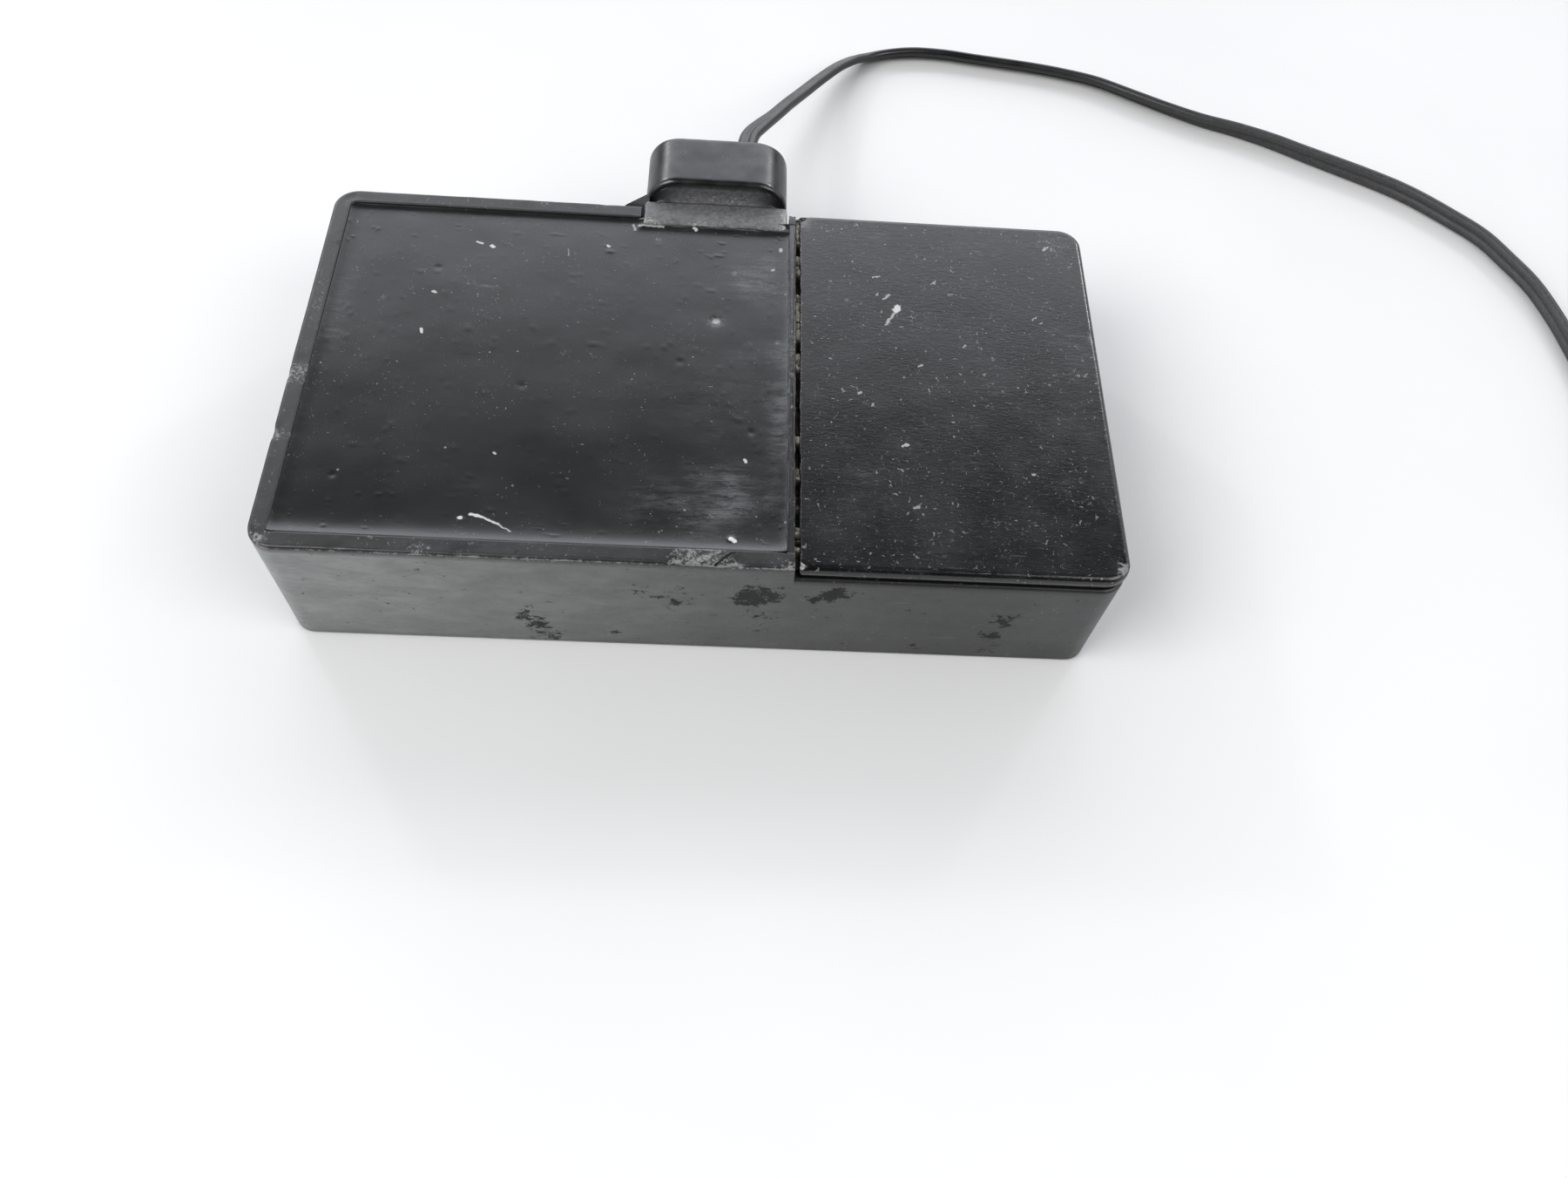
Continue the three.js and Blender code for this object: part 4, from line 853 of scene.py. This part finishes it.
def case_stations(step=0.42):
    """Walks once round the box's outline, anticlockwise from the front left. Gives each station's point
    on the outer wall, its outward direction and the wall's height there. Where the height changes, at
    the cover's line and at the grommet's notch, two stations lie a hair apart."""
    a, b = HALF_LENGTH - CORNER, HALF_WIDTH - CORNER
    right, left = DIVIDER_RIGHT, DIVIDER_LEFT + 0.1
    front, back = -HALF_WIDTH, HALF_WIDTH
    runs = [
        ((-a, front), (right, front), RIM), ((right, front), (a, front), BAY_WALL_TOP),
        ((a, -b), -90, BAY_WALL_TOP), ((HALF_LENGTH, -b), (HALF_LENGTH, b), BAY_WALL_TOP),
        ((a, b), 0, BAY_WALL_TOP), ((a, back), (right, back), BAY_WALL_TOP),
        ((right, back), (left, back), RIM), ((left, back), (NOTCH_LEFT, back), NOTCH_UNDER),
        ((NOTCH_LEFT, back), (-a, back), RIM), ((-a, b), 90, RIM),
        ((-HALF_LENGTH, b), (-HALF_LENGTH, -b), RIM), ((-a, -b), 180, RIM),
    ]
    points, outward, heights = [], [], []
    for start, end, height in runs:
        if np.isscalar(end):
            angle = np.radians(end + np.linspace(0, 90, 13))
            normal = np.column_stack([np.cos(angle), np.sin(angle)])
            point = np.array(start) + CORNER * normal
        else:
            start, end = np.array(start, float), np.array(end, float)
            length = np.linalg.norm(end - start)
            along = np.linspace(0, 1, max(3, int(length / step)))[:, None]
            point = start + (end - start) * along
            forward = (end - start) / length
            normal = np.broadcast_to([forward[1], -forward[0]], point.shape)
        points.append(point)
        outward.append(normal)
        heights.append(np.full(len(point), height))
    points, outward, heights = np.vstack(points), np.vstack(outward), np.concatenate(heights)
    gap = np.linalg.norm(points - np.roll(points, 1, axis=0), axis=1)
    rise = np.abs(heights - np.roll(heights, 1))
    kept = (gap > 1e-6) | (rise > 1e-6)
    forward = np.column_stack([-outward[:, 1], outward[:, 0]])
    points = points + forward * (0.04 * ((gap < 1e-6) & (rise > 1e-6)))[:, None]
    return points[kept], outward[kept], heights[kept]


# Chips along the rim: x, y, radius, depth. Damp blots on the front: x, height, radius, strength.
RIM_CHIPS = [
    (-44.9, -11.2, 0.8, 0.3), (-44.4, -24.6, 1.1, 0.22), (-44.9, -3.4, 0.7, 0.12),
    (-36.0, -25.3, 0.5, 0.12), (-24.0, -25.3, 0.7, 0.16), (-2.6, -25.3, 0.7, 0.3),
    (3.8, -25.2, 0.8, 0.35), (9.6, -25.3, 0.6, 0.3),
    (9.6, 25.2, 0.5, 0.3), (-43.0, 24.0, 0.6, 0.1), (-13.0, 25.4, 0.5, 0.1),
]
FRONT_BLOTS = [
    (-18.3, 6.2, 1.3, 0.82), (-17.2, 3.8, 1.3, 0.85), (-16.0, 1.6, 1.2, 0.75), (6.3, 12.6, 1.9, 0.95),
    (7.6, 12.0, 1.2, 0.9), (5.0, 11.0, 1.2, 0.8), (6.6, 8.0, 1.1, 0.6), (6.8, 5.0, 1.0, 0.4),
    (15.2, 13.8, 1.3, 0.9), (13.9, 12.6, 1.2, 0.9), (12.4, 12.2, 0.8, 0.6), (33.4, 9.0, 1.3, 0.85),
    (32.6, 5.4, 1.3, 0.75), (33.0, 2.2, 1.0, 0.6), (24.6, 2.6, 0.9, 0.65), (-2.2, 11.0, 2.4, 0.42),
    (-5.8, 12.6, 1.2, 0.42), (23.0, 10.5, 0.9, 0.35), (-31.0, 9.0, 0.8, 0.3), (-9.0, 3.0, 0.7, 0.5),
    (-14.5, 6.8, 0.5, 0.6), (9.0, 7.5, 0.5, 0.5),
]


def case_profile(height):
    """Rows of the wall's profile, each an inset and a height: the foot, up the outside, over the rim and
    down the inside to the floor."""
    foot, edge, inner_edge = 0.45, 0.38, 0.22
    turns = quarter(6)
    level = np.zeros_like(height)
    rows = [(inset, level) for inset in (2.2, 1.0, 0.55)]
    rows += [(foot * side, foot * up + level) for side, up in turns]
    rows += [(0.0, 0.5 + (height - edge - 0.55) * part) for part in np.linspace(0, 1, 22)]
    rows += [(edge * up, height - edge * side) for side, up in turns]
    rows += [(inset, height) for inset in (0.45, 0.7, 1.0, 1.3, 1.6, 1.72)]
    rows += [(WALL - inner_edge * side, height - inner_edge * up) for side, up in turns[:4]]
    rows += [(WALL, height - 0.3), (WALL, height - 0.6)]
    rows += [(WALL, FLOOR + (height - 0.7 - FLOOR) * part) for part in (0.7, 0.35, 0.0)]
    return rows


def case_wear(flat, tall, chip):
    """How rubbed the wall is: scuffs on the left rim, a patch in front, corners, edges and chips."""
    x, y, z = flat.T
    on_top = (tall - z < 0.3) & (tall > RIM - 1)
    left_side = x < -42
    scuffed = bell(y + 3.2, 1.7, 6) * left_side + 0.8 * bell(y + 11.4, 0.7) * left_side
    scuffed += 0.5 * bell(y - 7.5, 3.4, 4) * left_side * (x > -44.4)
    patch = bell(x - 0.4, 2.9, 10) * (y < -23)
    corner = spots(x, y, [(-43.8, -24.3, 1.3, 0.4), (8.9, -24.8, 0.8, 0.4), (-27.5, -25.0, 1.0, 0.45)])
    edge_line = bell(tall - z - 0.3, 0.12) * (y < -25.0) * (tall > RIM - 1)
    edge_line *= 0.75 + 0.6 * ragged(flat, 2.2, 33)
    return np.clip((0.4 * scuffed + 0.5 * patch + corner) * on_top + 0.9 * edge_line + 1.4 * chip, 0, 1)


def divider_shell():
    """The dividing wall: a thin slab with a ragged top, and how rubbed that top is."""
    low = (DIVIDER_LEFT, -HALF_WIDTH + WALL - 0.2, FLOOR - 0.2)
    high = (DIVIDER_RIGHT, HALF_WIDTH - WALL + 0.2, RIM - 0.02)
    vertices, faces = slab_shell(low, high, [0.05] * 4, 0.16, side_points=160, arc_points=2)
    top = vertices[:, 2] > RIM - 0.3
    vertices[top, 2] += 0.07 * ragged(vertices[top], 0.9, 51) - 0.03
    vertices[top, 0] += 0.09 * ragged(vertices[top] + 40, 1.1, 52)
    return (vertices, faces), np.clip(0.05 + 0.36 * ragged(vertices, 2.5, 53), 0, 0.5) * top


def make_case():
    """The wall's profile is carried round the outline. The sides lean in by the draft towards the foot.
    Small chips are cut from the rim, and lattice noise makes the sides and the rim a little uneven."""
    point, outward, height = case_stations()
    rows = case_profile(height)
    rings = []
    for inset, z in rows:
        lean = np.where(inset < WALL - 0.3, DRAFT * (1 - z / RIM), 0.0)
        rings.append(np.column_stack([point - outward * (inset + lean)[:, None], z]))
    shape = np.array(rings).shape
    flat = np.array(rings).reshape(-1, 3)
    normal = np.tile(np.column_stack([outward, np.zeros(len(outward))]), (shape[0], 1))
    tall = np.tile(height, shape[0])
    on_rim = bell(tall - flat[:, 2], 0.5) * (tall > RIM - 1)
    chip = spots(flat[:, 0], flat[:, 1], RIM_CHIPS) * (0.6 + 0.6 * ragged(flat, 0.5, 21))
    chip = np.clip(chip, 0, 0.45) * on_rim
    outer = np.repeat([inset < 0.5 for inset, _ in rows], len(point))
    flat[:, 2] -= chip
    flat -= normal * (chip * 0.5 * outer)[:, None]
    sides = (outer & (flat[:, 2] > 0.4)).astype(float)
    flat += normal * (0.018 * ragged(flat, 9.0, 3) * sides)[:, None]
    flat[:, 2] += 0.02 * ragged(flat, 1.6, 31) * on_rim
    x, y, z = flat.T
    front = (y < -HALF_WIDTH + 1.5) & (z < tall - 0.4) & (z > 0.3)
    on_top = (tall - z < 0.3) & (tall > RIM - 1)
    # film: the sides' pale milky film, and also painted light. It is strongest at the left end and fades
    # to the right, as the light falls, and it is weaker towards the foot.
    film = (0.17 + 0.98 * smoothstep((32 - x) / 88)) * outer * smoothstep((tall - 0.35 - z) / 0.3)
    film *= (smoothstep(z / 1.2) * 0.25 + 0.75) * (0.78 + 0.22 * smoothstep((z - 1) / 8))
    divider, divider_wear = divider_shell()
    marks = {
        "wear": np.concatenate([case_wear(flat, tall, chip), [0, 0], divider_wear]),
        "stain": np.clip(spots(x, z, FRONT_BLOTS) * front, 0, 0.95),
        "film": np.clip(np.maximum(film, 0.05 * on_top), 0, 1),
    }
    surface("moulded_box", [lofted(flat.reshape(shape)), divider], SHELL, "case",
            ("case_shell",), marks=marks)


make_case()


# ------------------------------------------------------------------ the bay's cover


def make_cover():
    """Rings from the middle of the top outwards, over the rounded edge, down the skirt, in under the
    plate, down and up the locating lip, and in to the middle of the underside."""
    x0, x1 = COVER_LOW[0] - 0.26, HALF_LENGTH
    y0, y1 = -HALF_WIDTH, HALF_WIDTH
    top = COVER_HIGH[2]
    round_edge, seam_edge = 0.7, 0.22
    lip_out, lip_thick = 2.3, 1.2
    sides, arcs = 70, 9

    def ring(inset, seam_inset, z):
        right, left = max(CORNER - inset, 0.15), 0.5
        return at_height(rounded_ring((x0 + seam_inset, y0 + inset), (x1 - inset, y1 - inset),
                                      (right, right, left, left), sides, arcs), z)

    rings = []
    middle = np.array([(x0 + x1) / 2, 0.0, top])
    edge_ring = ring(round_edge + 0.25, seam_edge + 0.1, top)
    for share in np.linspace(0.06, 1, 34):
        rings.append(middle + (edge_ring - middle) * share)
    rings.append(ring(round_edge + 0.08, seam_edge + 0.03, top))
    for side, up in quarter(9):
        rings.append(ring(round_edge * side, seam_edge * side, top - round_edge * up))
    for inset, z in ((0.0, top - 0.85), (0.0, top - 1.1), (0.05, top - 1.16), (0.3, top - 1.2),
                     (0.34, top - 1.24), (0.34, top - 1.6), (0.36, COVER_UNDER + 0.12),
                     (0.42, COVER_UNDER + 0.03)):
        rings.append(ring(inset, 0.0, z))
    lip_in = lip_out + lip_thick
    for inset, seam_inset, z in (
        (0.6, 0.12, COVER_UNDER), (lip_out, 0.14, COVER_UNDER), (lip_out, 0.14, COVER_LOW[2] + 0.3),
        (lip_out + 0.25, 0.35, COVER_LOW[2]), (lip_in - 0.2, lip_thick - 0.2, COVER_LOW[2]),
        (lip_in, lip_thick, COVER_LOW[2] + 0.2), (lip_in, lip_thick, COVER_UNDER - 0.3),
        (lip_in + 0.3, lip_thick + 0.3, COVER_UNDER),
    ):
        rings.append(ring(inset, seam_inset, z))
    rings = np.array(rings)
    flat = rings.reshape(-1, 3)
    x, y, z = flat.T
    upper = smoothstep((z - (top - 0.5)) / 0.45)
    dip = -0.06 * (1 - ((x - middle[0]) / 17.2) ** 2) * (1 - (y / 25.5) ** 2)
    flat[:, 2] += (dip + 0.012 * ragged(flat, 5.0, 61)) * (z > top - 0.05)
    nick = spots(x, y, [(x0 + 0.1, y1 - 0.15, 0.8, 0.8), (x0 + 0.05, y0 + 0.1, 0.5, 0.35)]) * upper
    dents = [(44.3, -23.8, 0.55, 0.22), (44.6, 8.0, 0.5, 0.08), (30.0, -25.4, 0.4, 0.08)]
    dent = spots(x, y, dents) * upper
    flat[:, 2] -= np.clip(nick + dent, 0, 0.7)
    seam = (x < x0 + 0.7) & (z > COVER_UNDER)
    flat[seam, 0] += 0.05 + 0.1 * ragged(flat[seam] * np.array([0.2, 1, 1]), 1.3, 62)
    drag = np.clip(ragged(flat * np.array([0.35, 2.0, 1.0]), 2.0, 63), 0, 1)
    front_rub = 0.42 * bell(y + 19.5, 3.6) * smoothstep((x - 20) / 10)
    back_rub = 0.16 * bell(x - 30, 8) * bell(y - 12, 8)
    rim_rub = 0.35 * np.clip(ragged(flat, 3.0, 64), 0, 1) * bell(x - x0, 0.6)
    corner_rub = spots(x, y, [(44.2, -24.2, 0.8, 0.75), (41.5, 22.5, 2.2, 0.3)])
    wear = np.clip(drag * (front_rub + back_rub) + rim_rub + corner_rub + 3 * dent, 0, 1) * upper
    surface("bay_cover", [lofted(flat.reshape(rings.shape))], COVER, "cover",
            ("access_cover",), marks={"wear": wear})


make_cover()


def make_seam_dust():
    """A strip of packed dust against the divider: its top rises where the lattice noise along the seam is
    high and falls away where it is low."""
    rows, columns = 420, 8
    y = np.linspace(-HALF_WIDTH + 1.2, HALF_WIDTH - 0.5, rows)
    x = np.linspace(DIVIDER_RIGHT - 0.05, COVER_LOW[0] + 0.05, columns)
    grid_y, grid_x = np.meshgrid(y, x, indexing="ij")
    along = np.column_stack([0 * y, y, 0 * y])
    packed = smoothstep((ragged(along, 1.5, 71) + 0.1 + 0.4 * smoothstep((y - 12) / 8)) / 0.5)[:, None]
    points = np.column_stack([grid_x.ravel(), grid_y.ravel(), 0 * grid_x.ravel()])
    crumb = ragged(points, 0.35, 72).reshape(rows, columns)
    top = RIM - 1.6 + 1.25 * packed + 0.16 * crumb
    upper = np.stack([grid_x, grid_y, top], axis=-1)
    under = np.stack([grid_x, grid_y, np.full_like(top, RIM - 2.1)], axis=-1)[:, ::-1]
    rings = np.concatenate([upper, under], axis=1)
    surface("seam_dust", [lofted(rings)], DIRT, "case")


make_seam_dust()


# ------------------------------------------------------------------ the resin


def make_resin():
    """A height field over the resin's chamber: level, with slow waves, drawn up the walls in a small
    meniscus, and dulled or marked where it has been rubbed, with a pale sheen painted along the meniscus.
    Straight sides close it below."""
    x0, x1 = RESIN_LOW[0] - FIT - 0.04, DIVIDER_LEFT + 0.04
    y0, y1 = -HALF_WIDTH + WALL - 0.04, HALF_WIDTH - WALL + 0.04

    def spread(low, high, count):
        """Evenly spaced in the middle and closer together at both ends."""
        t = np.linspace(0, 1, count)
        return low + (high - low) * (t - 0.1 * np.sin(2 * math.pi * t))

    x, y = np.meshgrid(spread(x0, x1, 250), spread(y0, y1, 230), indexing="ij")
    plan = np.column_stack([x.ravel(), y.ravel(), 0 * x.ravel()])
    to_wall = np.minimum(np.minimum(x - x0, x1 - x), np.minimum(y - y0, y1 - y))
    tab = np.maximum(np.maximum(GROMMET_LOW[0] - x, x - GROMMET_HIGH[0]), GROMMET_LOW[1] - y)
    to_wall = np.minimum(to_wall, np.maximum(tab, 0))
    z = RESIN_TOP + 0.03 * ragged(plan, 12.0, 81).reshape(x.shape)
    z += 0.22 * np.exp(-np.maximum(tab, 0) / 0.3) + 0.26 * np.exp(-(x - x0) / 0.5)
    z += 0.3 * np.exp(-(y - y0) / 0.95) + 0.12 * np.exp(-(y - y0) / 0.2)
    z += 0.22 * np.exp(-(y1 - y) / 0.3) + 0.3 * np.exp(-(x1 - x) / 0.8)
    pits = [(0.8, 7.9, 0.45, -0.08), (-20.0, -3.0, 0.3, -0.06), (-31.5, 14.0, 0.3, -0.05),
            (5.2, -8.0, 0.3, -0.05), (3.4, -22.0, 0.3, 0.12), (-12.0, 18.0, 0.25, 0.06),
            (-38.0, -16.0, 0.3, -0.05), (-3.0, 1.5, 0.25, -0.05)]
    z += spots(x, y, pits)
    z += 0.04 * np.clip(ragged(plan, 0.7, 82).reshape(x.shape) - 0.8, 0, 1)
    along = (x + 23.2) / 4.2
    curve_y = -20.2 - 2.0 * np.clip(along, 0, 1) ** 1.6
    scratch = 0.25 * bell(y - curve_y, 0.13) * ((along > 0) & (along < 1))
    scratch += 0.3 * bell(y - (12.0 - 0.12 * (x + 30)), 0.1) * (np.abs(x + 26) < 2.0)
    scratch += spots(x, y, [(0.8, 7.9, 0.9, 0.3), (7.9, 5.0, 0.25, 0.6), (-6.5, 20.5, 0.25, 0.6),
                            (-37.0, 9.0, 0.2, 0.5), (2.8, 15.5, 0.3, 0.5), (-16.0, 2.0, 0.18, 0.5)])
    z -= 0.02 * scratch
    # Painted sheen on the meniscus: the pale band along every wall, and the second and last rows, which
    # lie along the divider and the left wall. The other rows are real smears.
    smear_and_sheen = 0.14 * np.exp(-(to_wall / 1.2))
    for middle_x, reach_x, middle_y, reach_y, strength in (
        (2.0, 6.5, -17.6, 3.4, 1.0), (8.2, 1.2, -8.0, 14, 0.6), (5.5, 3.0, 15.0, 5, 0.8),
        (2.0, 6.0, 0.0, 14, 0.16), (-41.5, 1.3, 6.0, 8, 0.3),
    ):
        smear_and_sheen += strength * bell(x - middle_x, reach_x) * bell(y - middle_y, reach_y)
    smear_and_sheen *= 0.75 + 0.7 * ragged(plan, 3.5, 84).reshape(x.shape)
    upper = np.stack([x, y, z], axis=-1)
    under = upper.copy()
    under[..., 2] = RESIN_LOW[2]
    rings = np.concatenate([upper, under[:, ::-1]], axis=1)

    def on_top(field):
        """The field's values for the top's points, and none for the points below them."""
        return np.clip(np.concatenate([field, 0 * field], axis=1).ravel(), 0, 1)

    surface("resin_fill", [lofted(rings)], RESIN, "case", ("potting_block",),
            marks={"smear_and_sheen": on_top(smear_and_sheen), "scratch": on_top(scratch)})


make_resin()


# ------------------------------------------------------------------ the pieces inside, from the solids


def softened(node, material, slot, edge, body="case", steps=2):
    """A copy of a solid with its loose triangles joined, its flat faces made whole and its sharp edges
    rounded, which then stands for the solid."""
    work = bmesh.new()
    work.from_mesh(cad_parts[node].data)
    bmesh.ops.remove_doubles(work, verts=work.verts, dist=1e-6)
    bmesh.ops.dissolve_limit(work, angle_limit=math.radians(2), verts=work.verts, edges=work.edges)
    mesh = bpy.data.meshes.new(node + "_part")
    work.to_mesh(mesh)
    work.free()
    mesh.materials.clear()
    mesh.materials.append(material)
    piece = placed(node + "_part", mesh)
    bevel = piece.modifiers.new("rounded edges", "BEVEL")
    bevel.width = edge * MM
    bevel.segments = steps
    bevel.limit_method = "ANGLE"
    bevel.angle_limit = math.radians(35)
    mesh.polygons.foreach_set("use_smooth", np.ones(len(mesh.polygons), bool))
    normals = piece.modifiers.new("even shading", "WEIGHTED_NORMAL")
    normals.keep_sharp = True
    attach(piece, body)
    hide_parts(node)
    return piece


softened_parts = {row[0]: softened(*row) for row in (
    ("main_board", BOARD, "board_laminate", 0.12), ("switch_board", BOARD, "board_laminate", 0.12),
    ("ribbon_link", RIBBON, "ribbon", 0.1), ("encoder_chip", EPOXY, "chip_black", 0.1),
    ("crystal", STEEL, "can_steel", 0.1), ("oscillator_transistor", EPOXY, "chip_black", 0.15),
    ("voltage_regulator", EPOXY, "chip_black", 0.15), ("pull_up_network", BEIGE, "resistor_beige", 0.3),
    ("learn_button_body", STEEL, "can_steel", 0.15),
    ("learn_button_cap", EPOXY, "chip_black", 0.2, "button"),
    ("trimmer_base", SLIDER_WHITE, "slider_white", 0.2),
    ("trimmer_rotor", BRASS, "rotor_brass", 0.08, "rotor"),
    ("board_screw_1", STEEL, "can_steel", 0.06), ("board_screw_2", STEEL, "can_steel", 0.06),
    ("dip_switch_body", SWITCH_RED, "switch_red", 0.1), ("connector_pin_1", BRASS, "pin_brass", 0.12),
    ("connector_pin_2", BRASS, "pin_brass", 0.12),
)}
for number in range(1, 9):
    softened(f"dip_slider_{number}", SLIDER_WHITE, "slider_white", 0.12, f"slider_{number}")

for node, material in [
    ("saw_resonator", STEEL), ("filter_capacitor", SLEEVE), ("resistor_1", BEIGE), ("resistor_2", BEIGE),
    ("resistor_3", BEIGE), ("resistor_4", BEIGE), ("reverse_diode", EPOXY), ("antenna_loop", COPPER),
    ("core_positive", CORE_RED), ("core_negative", CORE_BLACK), ("status_led", LED_RED),
]:
    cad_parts[node].material_slots[0].material = material


def make_bay_details():
    """Switch legs, their solder, tracks and ring pads on the bay's board, and the ribbon's conductors.
    Bars are slabs with a small edge radius, and solder is a low turned cone."""
    low, high = box_mm("dip_switch_body")
    ribbon_low, ribbon_high = box_mm("ribbon_link")
    board_top = box_mm("switch_board")[1][2]
    network_left = box_mm("pull_up_network")[0][0] - 0.8
    legs, joints, tracks, conductors = [], [], [], []

    def bar(group, x_range, y, half_width, z_range, edge):
        x0, x1 = sorted(x_range)
        group.append(slab_shell((x0, y - half_width, z_range[0]), (x1, y + half_width, z_range[1]),
                                [edge] * 4, edge, 1, 3, 2))

    track_height = (board_top - 0.02, board_top + 0.035)
    for number in range(8):
        y = (low[1] + high[1]) / 2 + (number - 3.5) * SWITCH_PITCH
        for x, out in ((low[0], -1), (high[0], 1)):
            bar(legs, (x - out * 0.3, x + out * 0.5), y, 0.28, (board_top + 0.02, low[2] + 1.4), 0.05)
            joints.append(turned_shell([(0.95, 0), (0.9, 0.1), (0.55, 0.35), (0.35, 0.6)],
                                       (x + out * 0.35, y, board_top - 0.01), 14))
            end = x + out * (1.6 + 0.25 * (number % 3))
            bar(tracks, (x + out * 0.3, end), y, 0.2, track_height, 0.02)
        bar(tracks, (ribbon_high[0] - 0.4, low[0] - 1.2), y, 0.15, track_height, 0.02)
        joints.append(turned_shell([(0.7, 0), (0.65, 0.08), (0.4, 0.25)],
                                   (network_left, y, board_top - 0.01), 12))
    for number in range(9):
        y = (number - 4) * RIBBON_PITCH
        bar(conductors, (ribbon_low[0] + 0.2, ribbon_high[0] - 0.2), y, 0.35,
            (ribbon_high[2] - 0.1, ribbon_high[2] + 0.07), 0.06)
        bar(joints, (ribbon_high[0] - 0.7, ribbon_high[0] + 0.3), y, 0.42,
            (board_top, ribbon_low[2] + 0.1), 0.08)
    surface("switch_legs", legs, STEEL, "case")
    surface("solder_joints", joints, SOLDER, "case")
    surface("board_tracks", tracks, BOARD, "case")
    surface("ribbon_conductors", conductors, RIBBON, "case")


make_bay_details()


# ------------------------------------------------------------------ the connector


def make_connector():
    """The housing and pins from their solids, and a wire seal of rounded rings that swell three times."""
    housing = softened("connector_housing", PLUG, "plug_plastic", 0.18, steps=3)
    low, high = box_mm("connector_seal")
    rings = []
    for share in np.linspace(0, 1, 13):
        y = low[1] + (high[1] - low[1]) * share
        swell = 0.22 * (0.5 - 0.5 * math.cos(6 * math.pi * share))
        ring = rounded_ring((low[0] + swell, low[2] + swell), (high[0] - swell, high[2] - swell),
                            [1.2] * 4, 8, 8)
        rings.append(at_depth(ring[:, 0], y, ring[:, 1]))
    seal = surface("connector_wire_seal", [lofted(np.array(rings))], SEAL, "case",
                   ("connector_seal",))
    return [housing, seal, softened_parts["connector_pin_1"], softened_parts["connector_pin_2"]]


CONNECTOR_PIECES = make_connector()


# ------------------------------------------------------------------ floor and light


def make_floor():
    mesh = bpy.data.meshes.new("floor")
    half = 3.0
    corners = [(-half, -half, 0), (half, -half, 0), (half, half, 0), (-half, half, 0)]
    mesh.from_pydata(corners, [], [(0, 1, 2, 3)])
    floor = placed("floor", mesh)
    r = Recipe(bpy.data.materials.new("floor_white"))
    shade = r.mix(r.ramp(r.noise(60.0), 0.3, 0.7), (0.735, 0.738, 0.736), (0.755, 0.758, 0.756))
    mesh.materials.append(r.finish(shade, 0.6))


def make_room():
    """A white surround: a bright band low at the back, and softer light from both sides."""
    world = bpy.data.worlds.new("white_room")
    bpy.context.scene.world = world
    r = Recipe(world)
    direction = r.coordinates.outputs["Generated"]

    def part(towards, low, high, strength):
        """Light that eases in where the direction comes near the given one."""
        length = math.sqrt(sum(c * c for c in towards))
        nearness = r.vector("DOT_PRODUCT", direction, [c / length for c in towards])
        return r.ramp(nearness, low, high, 0.0, strength)

    glow = r.times(part((0.0, 0.8, -0.6), -0.02, 0.24, 2.3), part((0.0, 0.7, 0.7), 0.64, 0.84, 1.0))
    for row in (((-1.0, 0.0, 0.1), 0.5, 0.95, 1.2), ((1.0, 0.1, 0.1), 0.6, 0.95, 1.1),
                ((0.0, 0.6, 0.8), 0.6, 0.95, 0.16), ((0.0, 0.0, 1.0), -1.0, -0.9, 0.09)):
        glow = r.plus(glow, part(*row))
    background = r.nodes["Background"]
    background.inputs["Color"].default_value = (0.965, 0.98, 1.04, 1.0)
    r.put(background.inputs["Strength"], glow)


def make_lamps():
    """Two broad lamps in front and two small ones behind, each aimed at the box."""
    for name, place, size, power in (
        ("left_lamp", (-0.38, -0.22, 0.5), 0.4, 2.75), ("right_lamp", (0.4, -0.24, 0.5), 0.4, 1.65),
        ("left_back_lamp", (-0.36, 0.45, 0.33), 0.045, 0.36),
        ("right_back_lamp", (0.36, 0.45, 0.33), 0.045, 0.26),
    ):
        lamp = bpy.data.lights.new(name, "AREA")
        lamp.energy = power
        lamp.size = size
        lamp.color = (1.0, 0.992, 0.978)
        holder = placed(name, lamp)
        holder.location = place
        aim = -np.array(place)
        tilt = math.acos(-aim[2] / np.linalg.norm(aim))
        holder.rotation_euler = (tilt, 0, math.atan2(aim[1], aim[0]) - math.pi / 2)


make_floor()
make_room()
make_lamps()
bpy.context.scene.view_settings.view_transform = "Standard"
bpy.context.scene.view_settings.gamma = 0.87
